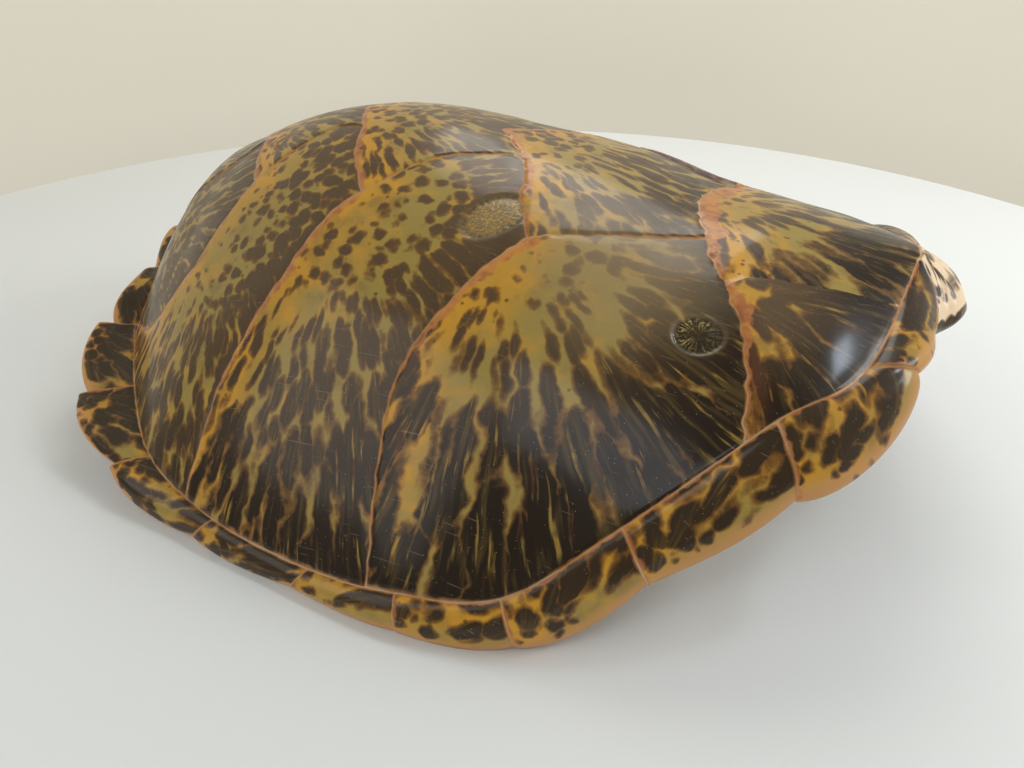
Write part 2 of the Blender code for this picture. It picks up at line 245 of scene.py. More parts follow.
def seam_line(name: str, step: float) -> np.ndarray:
    """Even points along a seam of the left side, which wanders a little to each side as it grew.

    Args:
        name: The seam's name.
        step: Gap between the points, in millimetres.

    Returns:
        The points in plan, both ends included.
    """
    line = np.array(SEAMS[name][1], float)
    ends = np.vstack((line[:1], line, line[-1:]))
    share = np.linspace(0, 1, 16, endpoint=False)[:, None]
    dense = np.vstack([between(*ends[i : i + 4], share) for i in range(len(line) - 1)] + [line[-1:]])
    lengths = np.concatenate(([0], np.cumsum(np.linalg.norm(np.diff(dense, axis=0), axis=1))))
    at = np.linspace(0, lengths[-1], max(int(round(lengths[-1] / step)), 2) + 1)
    points = np.column_stack([np.interp(at, lengths, dense[:, i]) for i in (0, 1)])
    along = np.gradient(points, axis=0)
    normal = unit(np.column_stack((-along[:, 1], along[:, 0])))
    phase = float(line.sum())
    waves = ((2.4, 1.0, 1.0), (1.45, 0.7, 2.1), (5.3, 0.8, 0.7))  # length, height and turn of each
    wander = sum(height * np.sin(at / length + turn * phase) for length, height, turn in waves)
    taper = np.clip(np.minimum(at, lengths[-1] - at) / 6.0, 0.0, 1.0)
    return points + normal * (wander * taper * (0.55 if name in LOBED_SEAMS else 0.3))[:, None]


@dataclass
class ShellForm:
    """The shell's surfaces by formula: the dome over its plan, and the marginal band round it."""

    rim_corners: tuple[tuple[float, float, float], ...] = (
        (302, 0, 119), (297, 26, 121), (283, 48, 117), (273, 98, 120), (229, 168, 75),
        (173, 209, 37), (118, 241, 2), (58, 255, 0), (-12, 251, 0), (-88, 244, 2),
        (-164, 229, 22), (-225, 193, 40), (-265, 135, 59), (-282, 72, 74), (-302, 0, 90),
    )
    seam_corners: tuple[tuple[float, float, float], ...] = (
        (268, 0, 146), (268, 5, 146), (267, 11, 146), (246, 110, 122), (211, 154, 110),
        (155, 204, 66), (107, 236, 30), (53, 246, 21), (-1, 246, 15), (-72, 238, 18),
        (-139, 216, 27), (-196, 171, 39), (-244, 118, 51), (-263, 64, 76), (-272, 0, 80),
    )
    ridge: tuple[tuple[float, float], ...] = (
        (-272, 80), (-240, 136), (-180, 174), (-115, 195), (-50, 199), (7, 191),
        (75, 179), (141, 161), (190, 157), (228, 151), (268, 146),
    )
    section_power: tuple[tuple[float, float], ...] = (
        (-272, 1.85), (-150, 1.85), (0, 2.2), (150, 2.4), (205, 1.85), (268, 1.5),
    )
    rim_steps: tuple[float, ...] = (0, 0, 0, 0.8, 0.8, 0.8, 0.8, 0.8, 0.8, 0.8, 4, 6, 11, 9)
    rim_bows: tuple[float, ...] = (0, 0, 1.5, 14, 1.5, 5, 1.5, 1.5, 4, 8, 5, 3, 4, 4)
    tail_notch: float = 6.0
    notch_length: float = 0.21
    band_swell: tuple[tuple[float, float], ...] = ((0, 3), (2, 3), (4, 5), (7, 4), (9, 3), (11, -1), (14, -2))
    rim_roll: float = 3.0
    roll_from: float = 0.6  # share of the way to the rim where the band starts to roll over
    nuchal_corner: int = 2

    def __post_init__(self) -> None:
        """Keep the corner lists as arrays, and the side seam for reading across the dome."""
        self.rim = np.array(self.rim_corners, float)
        self.seam = np.array(self.seam_corners, float)
        self.last = len(self.rim) - 1
        line = self.through(self.seam, np.linspace(self.nuchal_corner, self.last, 400))
        self.seam_line = line[np.argsort(line[:, 0])]
        whole = self.through(self.seam, np.linspace(0, self.last, 1200))
        self.plan_angle = np.arctan2(whole[:, 1], whole[:, 0])
        self.plan_reach = np.hypot(whole[:, 0], whole[:, 1])

    def through(self, knots: np.ndarray, place: np.ndarray) -> np.ndarray:
        """Read a smooth curve through the corners, which mirrors itself at the neck and the tail.

        Args:
            knots: The corners of one side.
            place: Places along it; whole numbers are corners.

        Returns:
            Points, one row for each place.
        """
        ends = np.vstack((knots[1] * FLIP, knots, knots[self.last - 1] * FLIP))
        first = np.minimum(np.floor(place).astype(int), self.last - 1)
        return between(*(ends[first + n] for n in range(4)), (place - first)[:, None])

    def dome_height(self, x: np.ndarray, y: np.ndarray) -> np.ndarray:
        """Height of the dome over points of its plan."""
        line = self.seam_line
        half_width = np.maximum(np.interp(x, line[:, 0], line[:, 1]), 0.001)
        foot = np.interp(x, line[:, 0], line[:, 2])
        across = np.minimum(np.abs(y) / half_width, 1.0)
        return foot + (eased(self.ridge, x) - foot) * (1 - across ** eased(self.section_power, x))

    def dome_normal(self, x: np.ndarray, y: np.ndarray, step: float = 1.5) -> np.ndarray:
        """Outward normals of the dome over points of its plan."""
        dx = (self.dome_height(x + step, y) - self.dome_height(x - step, y)) / (2 * step)
        dy = (self.dome_height(x, y + step) - self.dome_height(x, y - step)) / (2 * step)
        return unit(np.column_stack((-dx, -dy, np.ones_like(dx))))

    def inside_plan(self, points: np.ndarray, margin: float) -> np.ndarray:
        """Whether plan points lie on the dome, at least margin within its seam."""
        x, y = points.T
        reach = np.interp(np.arctan2(np.abs(y), x), self.plan_angle, self.plan_reach)
        return np.hypot(x, y) < reach - margin

    def rim_setback(self, place: np.ndarray) -> np.ndarray:
        """How far the rim lies inside the curve of its corners."""
        scute = np.maximum(np.ceil(place).astype(int), 1) - 1
        share = place - scute
        step, bow = np.array(self.rim_steps)[scute], np.array(self.rim_bows)[scute]
        notch = self.tail_notch * np.maximum(0.0, 1 - (self.last - place) / self.notch_length)
        return step * (1 - share) ** 1.5 + notch - bow * 4 * share * (1 - share)

    def band(self, place: np.ndarray, across: np.ndarray) -> tuple[np.ndarray, np.ndarray, np.ndarray]:
        """The marginal band of one side.

        Args:
            place: Places along the margin, one for each column.
            across: Shares of the way from seam to rim, by row and column; a single column serves all.

        Returns:
            Points by row and column, the outward direction of each column, and its normal.
        """
        seam, rim = self.through(self.seam, place), self.through(self.rim, place)
        seam[:, 2] = self.dome_height(seam[:, 0], seam[:, 1])
        outward = unit(rim - seam)
        rim = rim - outward * self.rim_setback(place)[:, None]
        ahead = self.through(self.rim, np.minimum(place + 0.1, self.last))
        behind = self.through(self.rim, np.maximum(place - 0.1, 0.0))
        up = np.cross(outward, ahead - behind)
        up[(place <= 0) | (place >= self.last), 1] = 0.0
        up = unit(up)
        a = across[:, :, None]
        swell = eased(self.band_swell, place)[None, :, None] * 4 * a * (1 - a)
        roll = self.rim_roll * np.maximum(0.0, (a - self.roll_from) / (1 - self.roll_from)) ** 2
        return seam[None] * (1 - a) + rim[None] * a + up[None] * (swell - roll), outward, up


class Scatter:
    """Plan points for a mesh, kept apart by a grid of cells."""

    def __init__(self, cell: float = 6.0) -> None:
        """Start empty, with cells as wide as the widest room asked for."""
        self.cell = cell
        self.points: list[tuple[float, float]] = []
        self.cells: dict[tuple[int, int], list[int]] = {}

    def nearest(self, x: float, y: float, room: float) -> int:
        """Index of a point closer than room, or -1."""
        best, found = room * room, -1
        cx, cy = int(x // self.cell), int(y // self.cell)
        for i in (cx - 1, cx, cx + 1):
            for j in (cy - 1, cy, cy + 1):
                for k in self.cells.get((i, j), ()):
                    px, py = self.points[k]
                    gap = (px - x) ** 2 + (py - y) ** 2
                    if gap < best:
                        best, found = gap, k
        return found

    def put(self, x: float, y: float) -> int:
        """Add a point and give its index."""
        self.points.append((float(x), float(y)))
        self.cells.setdefault((int(x // self.cell), int(y // self.cell)), []).append(len(self.points) - 1)
        return len(self.points) - 1

    def fill(self, points: np.ndarray, room: float) -> None:
        """Add each point that has the room."""
        for x, y in points:
            if self.nearest(x, y, room) < 0:
                self.put(x, y)


@dataclass
class DomePlan:
    """A mesh over the dome's plan, with edges along every seam. Steps in millimetres."""

    form: ShellForm
    ring: np.ndarray
    step: float = 3.1
    seam_step: float = 2.4
    rows: tuple[float, ...] = (0.7, 1.7, 3.4)
    ring_rows: tuple[float, ...] = (0.7, 1.6, 2.6, 3.8, 5.2)
    seam_stop: float = 1.6  # how far within the margin a seam's own points end
    same_point: float = 1.0  # seam points this close are one
    scar_rings: tuple[float, float, float] = (0.04, 1.3, 0.075)  # first, last and step, as shares of its radius
    scar_step: float = 1.25
    scar_room: float = 0.85
    with_seams: bool = True

    def build(self) -> tuple[np.ndarray, np.ndarray, np.ndarray, np.ndarray]:
        """Lay the points and join them.

        Returns:
            Points, triangles, for each ring point its index among the points, and the edges along seams.
        """
        scatter = Scatter()
        for x, y in self.ring:
            scatter.put(x, y)
        edges: list[tuple[int, int]] = []
        if self.with_seams:
            chains = [self.add_chain(scatter, name, side, edges) for name in SEAMS for side in SIDES.values()]
            for away in self.rows:
                for chain in chains:
                    self.add_rows(scatter, chain, away)
            for away in self.ring_rows:
                self.add_rows(scatter, closer(self.ring, 4), away)
            for scar in SCARS:
                self.add_scar(scatter, scar)
        self.add_grid(scatter)
        ring = list(range(len(self.ring)))
        found = delaunay_2d_cdt([Vector(p) for p in scatter.points], edges, [ring], 1, 1e-6)
        points, joined, triangles, source, sources = found[:5]
        where = {k: i for i, known in enumerate(source) for k in known}
        seam_edges = [edge for edge, known in zip(joined, sources) if known]
        return (
            np.array([tuple(p) for p in points]),
            np.array(triangles),
            np.array([where[k] for k in ring]),
            np.array(seam_edges).reshape(-1, 2),
        )

    def add_chain(self, scatter: Scatter, name: str, side: int, edges: list[tuple[int, int]]) -> np.ndarray:
        """Put a seam's points and edges; an end at the margin joins the ring.

        Args:
            scatter: The points so far.
            name: The seam's name.
            side: 1 for the left side, -1 for the right.
            edges: Joined point pairs, added to.

        Returns:
            The seam's points in plan.
        """
        points = seam_line(name, self.seam_step) * (1, side)
        keep = self.form.inside_plan(points, self.seam_stop)
        keep[0] = True
        indices = []
        for x, y in points[keep]:
            known = scatter.nearest(x, y, self.same_point)
            indices.append(known if known >= 0 else scatter.put(x, y))
        if not keep[-1]:
            gaps = np.linalg.norm(self.ring - points[keep][-1], axis=1)
            indices.append(int(np.argmin(gaps)))
        edges.extend((a, b) for a, b in zip(indices, indices[1:]) if a != b)
        return np.array([scatter.points[i] for i in indices])

    def add_rows(self, scatter: Scatter, chain: np.ndarray, away: float) -> None:
        """Put a row of points at a distance on each side of a chain."""
        along = np.diff(chain, axis=0)
        normal = unit(np.column_stack((-along[:, 1], along[:, 0])))
        middle = (chain[:-1] + chain[1:]) / 2
        for side in SIDES.values():
            row = middle + normal * away * side
            scatter.fill(row[self.form.inside_plan(row, 0.4)], away * 0.9 if away < 2 else away * 0.62)

    def add_scar(self, scatter: Scatter, scar: Scar) -> None:
        """Put close rings of points where a scar lies."""
        for reach in np.arange(*self.scar_rings):
            count = int(2 * math.pi * reach * (scar.length + scar.breadth) / 4 / self.scar_step) + 4
            points = scar.ring(reach, np.linspace(0, 2 * math.pi, count, endpoint=False) + reach * 7)
            scatter.fill(points[self.form.inside_plan(points, 1.0)], self.scar_room)

    def add_grid(self, scatter: Scatter) -> None:
        """Fill what is left with an even three-way grid, which starts outside the plan on all sides."""
        half_length, half_width = 290, 270
        for n, y in enumerate(np.arange(-half_width, half_width, self.step * math.sqrt(3) / 2)):
            x = np.arange(-half_length + (n % 2) * self.step / 2, half_length, self.step)
            row = np.column_stack((x, np.full_like(x, y)))
            scatter.fill(row[self.form.inside_plan(row, self.step * 0.6)], self.step * 0.72)


def flat_parts(triangles: np.ndarray, walls: np.ndarray) -> np.ndarray:
    """Number the parts of a mesh that its walls divide.

    Args:
        triangles: Three point numbers each.
        walls: Edges that no part crosses.

    Returns:
        The part that each triangle is in.
    """
    closed = {tuple(sorted(edge)) for edge in walls.tolist()}
    at_edge: dict[tuple[int, int], list[int]] = {}
    for t, (a, b, c) in enumerate(triangles.tolist()):
        for edge in ((a, b), (b, c), (c, a)):
            at_edge.setdefault(tuple(sorted(edge)), []).append(t)
    beside: list[list[int]] = [[] for _ in triangles]
    for edge, pair in at_edge.items():
        if len(pair) == 2 and edge not in closed:
            beside[pair[0]].append(pair[1])
            beside[pair[1]].append(pair[0])
    part = np.full(len(triangles), -1)
    count = 0
    for start in range(len(triangles)):
        if part[start] >= 0:
            continue
        part[start] = count
        stack = [start]
        while stack:
            for t in beside[stack.pop()]:
                if part[t] < 0:
                    part[t] = count
                    stack.append(t)
        count += 1
    return part


def reach_each_way(angle: np.ndarray, radius: np.ndarray, count: int = 72) -> np.ndarray:
    """How far places reach from their middle, smoothed over the directions, read at each place's own angle."""
    turn = (angle + math.pi) / (2 * math.pi) * count
    reach = np.zeros(count)
    np.maximum.at(reach, np.clip(turn.astype(int), 0, count - 1), radius)
    reach = np.interp(np.arange(count), np.flatnonzero(reach), reach[reach > 0])
    reach = np.convolve(np.pad(reach, 2, mode="edge"), np.ones(5) / 5, mode="valid")
    return np.interp(turn - 0.5, np.arange(count), reach)


@dataclass
class Dome:
    """The dome's outer face in plan, cut into scutes.

    scute is each triangle's scute number, below 0 on the right side; seams are close points along each seam,
    by its name and side; margin_gap is each point's distance from the margin's seam.
    """

    plan: np.ndarray
    triangles: np.ndarray
    scute: np.ndarray
    seams: dict[str, np.ndarray]
    margin_gap: np.ndarray
    rubbed_gap: float = 2.6  # how far off the faint seam counts as, where it is rubbed away
    no_seam: float = 70.0

    @classmethod
    def cut(cls, plan: np.ndarray, triangles: np.ndarray, walls: np.ndarray, ring: np.ndarray) -> "Dome":
        """Tell the scutes of a mesh over the dome's plan.

        Args:
            plan: Its points.
            triangles: Its triangles.
            walls: Its edges along seams and margin.
            ring: The margin's seam in plan.

        Returns:
            The dome.
        """
        part = flat_parts(triangles, walls)
        middle = plan[triangles].mean(axis=1)
        named = np.zeros(len(triangles), int)
        for scute, lay in SCUTES.items():
            for side in SIDES.values() if lay.inside[1] else (1,):
                spot = np.array(lay.inside) * (1, side)
                nearest = int(np.argmin(np.linalg.norm(middle - spot, axis=1)))
                named[part == part[nearest]] = scute.value * side
        missing = int((named == 0).sum())
        if missing:
            LOG.warning("%d triangles are in no scute", missing)
            named[named == 0] = Scute.VERTEBRAL_5.value
        seams = {name + mark: flat(seam_line(name, 0.6) * (1, side)) for name in SEAMS for mark, side in SIDES.items()}
        return cls(plan, triangles, named, seams, distance_to(flat(closer(ring, 8)), flat(plan)))

    def seam_gap(self) -> np.ndarray:
        """Distance of each point from the nearest seam; the faint one counts as a little way off."""
        gap = np.minimum(distance_to(np.vstack(list(self.seams.values())), flat(self.plan)), self.margin_gap)
        faint = self.gap_to((FAINT_SEAM,), self.plan)
        return np.where((faint < 4) & (self.margin_gap > 6), np.maximum(gap, self.rubbed_gap), gap)

    def gap_to(self, names: tuple[str, ...], places: np.ndarray) -> np.ndarray:
        """Distance of places from the nearest of the named seams of both sides; far off if none is named."""
        if not names:
            return np.full(len(places), self.no_seam)
        return distance_to(np.vstack([self.seams[name + mark] for name in names for mark in SIDES]), flat(places))


@dataclass
class ShellMesh:
    """Builds the whole shell as one closed mesh with what its finishes read. Measures in millimetres."""

    form: ShellForm
    bone: float = 8.0
    spine: float = 7.0
    spine_half_width: float = 13.0
    spine_half_length: float = 235.0
    lap: float = 0.7
    lap_fade: float = 14.0
    lap_reach: float = 45.0
    seam_depth: float = 0.3
    margin_seam_depth: float = 0.7
    margin_lip: float = 0.3
    marginal_dip: float = 0.35  # how low a marginal lies behind the edge that laps over it
    nuchal_columns: int = 7
    column_gap: float = 3.1
    behind_edge: tuple[float, ...] = (0.5, 1.2, 2.4, 4.2)  # columns close behind a marginal's front edge
    before_edge: tuple[float, ...] = (3.6, 1.8, 0.7, 0.0)  # and close before its rear edge
    band_rows: int = 15
    crowding: float = 1.25  # how much closer together the rows lie near the seam
    cap_rows: int = 7
    under_rows: int = 7
    inner_step: float = 5.2
    inner_fade: float = 12.0  # how far from the margin the inner face follows the band's
    rim_thickness: tuple[tuple[float, float], ...] = ((0, 7), (2, 9), (4, 10), (6, 9), (8, 8), (10, 6), (14, 5))
    far_off: float = 30.0  # distance from a marginal's edge that stands for none near
    marginal_length: float = 62.0
    nuchal_length: float = 40.0
    full_growth: float = 260.0  # distance from its growth corner at which a dome scute's horn is as at its far edge
    late_fade: float = 14.0
    early_fade: float = 12.0

    def columns(self) -> tuple[np.ndarray, np.ndarray, np.ndarray]:
        """Places along one side's margin, close together at each scute's edges.

        Returns:
            The places, and each one's distance ahead of its scute's rear edge and behind its front edge.
        """
        corner = self.form.through(self.form.rim, np.arange(self.form.last + 1.0))
        places, rear, front = [0.0], [self.far_off], [self.far_off]
        for k in range(self.form.last):
            length = float(np.linalg.norm(corner[k + 1] - corner[k]))
            if k < self.form.nuchal_corner:
                first = 3.2
                offsets = np.arange(first, length + 0.1, (length - first) / self.nuchal_columns)
                ahead = behind = np.full(len(offsets), self.far_off)
                if k == self.form.nuchal_corner - 1:
                    ahead = length - offsets
            else:
                start, end = self.behind_edge[-1], length - self.before_edge[0]
                inner = np.linspace(start, end, max(int((end - start) / self.column_gap), 2))
                offsets = np.concatenate((self.behind_edge[:-1], inner, length - np.array(self.before_edge[1:])))
                ahead, behind = length - offsets, offsets
            places.extend(k + offsets / length)
            rear.extend(ahead)
            front.extend(behind)
        places[-1] = float(self.form.last)
        return np.array(places), np.array(rear), np.array(front)

    def margin(self) -> None:
        """Lay the band's rows all round: over its outside, round the rim and back under it to the inner seam."""
        places, rear, front = self.columns()
        seam, _, up = self.form.band(places, np.zeros((1, 1)))
        whole, _, _ = self.form.band(places, np.linspace(0, 1, 41)[:, None])
        width = np.linalg.norm(np.diff(whole, axis=0), axis=2).sum(axis=0)
        thick = eased(self.rim_thickness, places)
        end = 1 - thick / 2 / width
        share = np.linspace(0, 1, self.band_rows) ** self.crowding
        outer = self.form.band(places, share[:, None] * end)[0]
        tip = unit(outer[-1] - outer[-2])
        normal = unit(np.cross(tip, np.gradient(outer[-1], axis=0)))
        normal[[0, -1], 1] = 0.0
        tip[[0, -1], 1] = 0.0
        half = (thick / 2)[:, None]
        centre = outer[-1] - normal * half
        turns = np.linspace(0, math.pi, self.cap_rows + 2)[1:-1]
        cap = [centre + half * (normal * math.cos(t) + tip * math.sin(t)) for t in turns]
        inner_normal = self.form.dome_normal(seam[0, :, 0] * 0.985, seam[0, :, 1] * 0.985) + up
        inner_normal[[0, -1], 1] = 0.0
        inner_normal = unit(inner_normal)
        fades = np.linspace(1, 0, self.under_rows)
        under = self.form.band(places, fades[:, None] * end)[0]
        for row, f in zip(under, fades):
            mixed = unit(normal * f + inner_normal * (1 - f))
            row -= mixed * (thick * f + self.bone * (1 - f))[:, None]
        sheet = np.concatenate((outer, cap, under))
        sheet[: self.band_rows] += up[None] * self.relief(rear, front, share, width)[:, :, None]
        self.sheet = np.concatenate((sheet, sheet[:, OTHER_SIDE] * FLIP), axis=1)
        self.foot = np.vstack((seam[0], seam[0][OTHER_SIDE] * FLIP))[:, :2]
        self.inner_normal = np.concatenate((inner_normal, inner_normal[OTHER_SIDE] * FLIP))
        self.place = np.concatenate((places, places[OTHER_SIDE]))
        self.width = np.concatenate((width, width[OTHER_SIDE]))
        self.share_rows = share

    def relief(self, rear: np.ndarray, front: np.ndarray, share: np.ndarray, width: np.ndarray) -> np.ndarray:
        """How far the band's outside is raised: each scute laps over the one behind it.

        Args:
            rear: Distance ahead of each scute's rear edge.
            front: Distance behind its front edge.
            share: Shares across, row by row.
            width: The band's width at each place.

        Returns:
            Heights by row and column, in millimetres.
        """
        lap = self.lap * np.exp(-rear / self.lap_fade) * ramp(rear, -0.2, 0.7)
        low = -self.marginal_dip * np.exp(-front / 3.0)
        from_seam = share[:, None] * width[None]
        groove = -self.margin_seam_depth * hump(from_seam, 1.3)
        lip = self.margin_lip * hump(from_seam - 4.5, 3.5)
        away = 1 - ramp(share, 0.8, 1.0)[:, None]
        return (lap + low)[None] * ramp(from_seam, 0.0, 2.5) * away + groove + lip

    def build(self) -> bpy.types.Mesh:
        """Make the closed mesh with its faces' regions and its attributes.

        Returns:
            The mesh, in metres, in the frame.
        """
        self.margin()
        plan, triangles, ring_at, walls = DomePlan(self.form, self.foot).build()
        LOG.info("dome: %d points, %d triangles", len(plan), len(triangles))
        dome = Dome.cut(plan, triangles, walls, self.foot)
        inside = DomePlan(self.form, self.foot, step=self.inner_step, with_seams=False)
        inner_plan, inner_triangles, inner_ring, _ = inside.build()
        outer = self.dome_surface(dome)
        inner = self.inner_surface(inner_plan, inner_ring)

        rows, columns = self.sheet.shape[:2]
        start = len(outer)
        inner_start = start + (rows - 2) * columns
        points = np.vstack((outer, self.sheet[1:-1].reshape(-1, 3), inner))
        index = np.empty((rows, columns), int)
        index[0] = ring_at
        index[1:-1] = start + np.arange((rows - 2) * columns).reshape(rows - 2, columns)
        index[-1] = inner_start + inner_ring
        points[index[0]] = self.sheet[0]
        points[index[-1]] = self.sheet[-1]
        after = np.roll(index, -1, axis=1)
        quads = np.stack((index[:-1], index[1:], after[1:], after[:-1]), axis=-1).reshape(-1, 4)
        faces = triangles.tolist() + quads.tolist() + (inner_triangles[:, ::-1] + inner_start).tolist()

        points = (points + CENTRING) * MM
        points[:, 2] = np.maximum(points[:, 2], 0.0)
        mesh = bpy.data.meshes.new("turtle_shell")
        mesh.from_pydata(points.tolist(), [], faces)
        mesh.shade_smooth()
        self.write_attributes(mesh, dome, points)
        mesh.validate(verbose=False)
        return mesh

    def dome_surface(self, dome: Dome) -> np.ndarray:
        """Raise the dome's plan to its height, with lapped seams and sunken edges."""
        plan = dome.plan
        height = np.zeros(len(plan))
        on_point = np.zeros(len(plan), int)
        on_point[dome.triangles.ravel()] = np.repeat(dome.scute, 3)
        for name, (over, _) in SEAMS.items():
            for mark, side in SIDES.items():
                line = dome.seams[name + mark]
                low, high = line.min(axis=0)[:2] - self.lap_reach, line.max(axis=0)[:2] + self.lap_reach
                near = np.all((plan > low) & (plan < high), axis=1)
                gap = distance_to(line, flat(plan[near]))
                lifted = name + mark == LIFTED_SEAM
                top = Scute.COSTAL_2 if lifted else over
                upper = np.abs(on_point[near]) == top.value
                upper &= (np.sign(on_point[near]) == side) | (top.value <= Scute.VERTEBRAL_5.value)
                strength = FAINT_RELIEF if name == FAINT_SEAM else LIFT / self.lap if lifted else 1.0
                lap = self.lap * np.exp(-gap / self.lap_fade) * ramp(gap, 0.1, 0.8) * upper
                sunk = -self.seam_depth * hump(gap, 1.1)
                larger = np.abs(lap) + np.abs(sunk) > np.abs(height[near])
                height[near] = np.where(larger, strength * (lap + sunk), height[near])
        height -= self.margin_seam_depth * hump(dome.margin_gap, 0.6)
        base = np.column_stack((plan, self.form.dome_height(*plan.T)))
        return base + self.form.dome_normal(*plan.T) * height[:, None]

    def inner_surface(self, plan: np.ndarray, ring: np.ndarray) -> np.ndarray:
        """The bone's inner face under the dome, with the backbone's swelling along the middle.

        Args:
            plan: Points in plan, as under the outer face.
            ring: Which of them are on the margin.

        Returns:
            The inner points.
        """
        normal = self.form.dome_normal(*plan.T)
        tree = tree_of(flat(plan[ring]))
        for i, (x, y) in enumerate(plan):
            _, k, gap = tree.find((x, y, 0.0))
            share = math.exp(-gap / self.inner_fade)
            normal[i] = normal[i] * (1 - share) + self.inner_normal[k] * share
        ends = np.maximum(0.0, 1 - (np.abs(plan[:, 0]) / self.spine_half_length) ** 6)
        spine = self.spine * np.exp(-((plan[:, 1] / self.spine_half_width) ** 2) * 1.6) * ends
        base = np.column_stack((plan, self.form.dome_height(*plan.T)))
        return base - unit(normal) * (self.bone + spine)[:, None]

    def write_attributes(self, mesh: bpy.types.Mesh, dome: Dome, points: np.ndarray) -> None:
        """Store what the finishes read, for each face corner.

        growth holds the distance round and away from the scute's growth corner, and the scute's number. lay
        holds the distance from the nearest seam and from the scute's own late edge, and how dark the horn is.
        site holds the share of the way to the rim, and on a scar its radius and angle. trend holds how far the
        horn is drawn out into streaks, how wide the bare horn along the late edge is, and how small its
        blotches are. bone marks the faces that bone shows on.

        Args:
            mesh: The mesh that takes them.
            dome: The dome's outer face.
            points: All points, in metres.
        """
        place = points[dome.triangles.ravel()] / MM - CENTRING
        over, band = self.dome_values(dome, place), self.band_values()
        inner_count = len(mesh.loops) - len(place) - len(band["growth"])
        nowhere = np.zeros((inner_count, 3))
        within = {"growth": nowhere, "lay": nowhere, "site": nowhere + (2.0, OFF_SCAR, 0.0), "trend": nowhere}
        for name in ("growth", "lay", "site", "trend"):
            layer = mesh.attributes.new(name, "FLOAT_VECTOR", "CORNER")
            layer.data.foreach_set("vector", np.vstack((over[name], band[name], within[name])).ravel())
        rows, columns = self.sheet.shape[:2]
        horn_faces = len(dome.triangles) + (rows - self.under_rows + 2) * columns
        bone = np.arange(len(mesh.polygons)) >= horn_faces
        mesh.attributes.new("bone", "BOOLEAN", "FACE").data.foreach_set("value", bone)

    def dome_values(self, dome: Dome, place: np.ndarray) -> dict[str, np.ndarray]:
        """Growth, lay, site and trend of the dome's face corners, which lie at place."""
        number = np.repeat(dome.scute, 3)
        growth, lay, trend = (np.zeros((len(place), 3)) for _ in range(3))
        lay[:, 0] = dome.seam_gap()[dome.triangles.ravel()]
        for kind, own in SCUTES.items():
            for side in SIDES.values():
                mask = number == kind.value * side
                if not mask.any():
                    continue
                here = place[mask]
                angle, radius = self.round_growth(here, own, side)
                late, early = dome.gap_to(own.late_edge, here), dome.gap_to(own.early_edge, here)
                grown = radius / reach_each_way(angle, radius) * 0.6 + radius / self.full_growth * 0.4
                dark = own.heart + (own.verge - own.heart) * ramp(grown, 0.22, 0.92)
                lean = ramp(late / (late + early + 1.0), 0.0, 0.9) - 0.5
                dark += (0.14 + 0.12 * ramp(radius, 30, 110)) * lean * (1 - 0.7 * ramp(radius, 110, 200))
                dark += 0.12 * np.exp(-early / self.early_fade) - 0.18 * np.exp(-late / self.late_fade)
                bare = own.band * (1 - 0.85 * ramp(radius / own.spread, 0.35, 0.75))
                growth[mask] = np.column_stack((angle * own.spread, radius, number[mask]))
                lay[mask, 1:] = np.column_stack((np.minimum(late, 90.0), dark))
                trend[mask] = np.column_stack((radius / own.spread, bare, np.full(len(here), own.grain)))
        site = np.column_stack((np.zeros(len(place)), self.scar_values(place)))
        return {"growth": growth, "lay": lay, "site": site, "trend": trend}

    def round_growth(self, here: np.ndarray, own: ScuteLay, side: int) -> tuple[np.ndarray, np.ndarray]:
        """Angle and distance of places round a scute's growth corner.

        Args:
            here: The scute's places.
            own: The scute's lay.
            side: 1 for the left side, -1 for the right.

        Returns:
            Angles from the scute's middle, and distances.
        """
        corner = np.array((*own.growth, 0.0)) * (1, side, 1)
        corner[2] = self.form.dome_height(corner[:1], corner[1:2])[0]
        toward = here.mean(axis=0) - corner
        if own.growth[1] == 0:
            toward = np.array((1.0, 0.0, 0.0))
        normal = self.form.dome_normal(here[:, 0], here[:, 1]).mean(axis=0)
        toward -= normal * toward.dot(normal)
        toward /= np.linalg.norm(toward)
        u, v = (here - corner) @ toward, (here - corner) @ np.cross(normal, toward)
        return np.arctan2(v, u), np.linalg.norm(here - corner, axis=1)

    def band_values(self) -> dict[str, np.ndarray]:
        """Growth, lay, site and trend of the band's face corners."""
        rows, columns = self.sheet.shape[:2]
        outer = np.concatenate((self.share_rows, 1 + np.linspace(0, 1, rows - self.band_rows + 1)[1:]))
        row, column = np.meshgrid(np.arange(rows - 1), np.arange(columns), indexing="ij")
        after = (column + 1) % columns
        corner_row = np.stack((row, row + 1, row + 1, row), axis=-1).reshape(-1)
        corner_column = np.stack((column, column, after, after), axis=-1).reshape(-1)
        middle = (self.place[column] + self.place[after]) / 2
        owner = np.repeat(np.floor(middle).reshape(-1), 4)
        nuchal = owner < self.form.nuchal_corner
        owner[nuchal] = 1
        side = np.repeat(np.where(column < columns // 2, 1, -1).reshape(-1), 4)
        place, share, width = self.place[corner_column], outer[corner_row], self.width[corner_column]
        ahead = np.clip(owner + 1 - place, 0, 1) * self.marginal_length
        inward = (1 - np.minimum(share, 1.0)) * width + 4
        radius = np.hypot(ahead, inward)
        number = np.where(nuchal, NUCHAL, FIRST_MARGINAL + owner) * side
        edge = np.minimum(np.clip(place - owner, 0, 1) * self.marginal_length, ahead)
        edge = np.where(nuchal, np.abs(self.form.nuchal_corner - place) * self.nuchal_length, edge)
        seam_gap = np.where(share > 1, edge + 3, np.minimum(edge, share * width))
        rear = eased(((0, 0), (7, 0), (10, 1), (14, 1)), place)
        dark = np.array(MARGINAL_DARK)[owner.astype(int)]
        dark = dark * (1 - ramp(share, 0.60 + 0.24 * rear, 0.96 + 0.12 * rear))
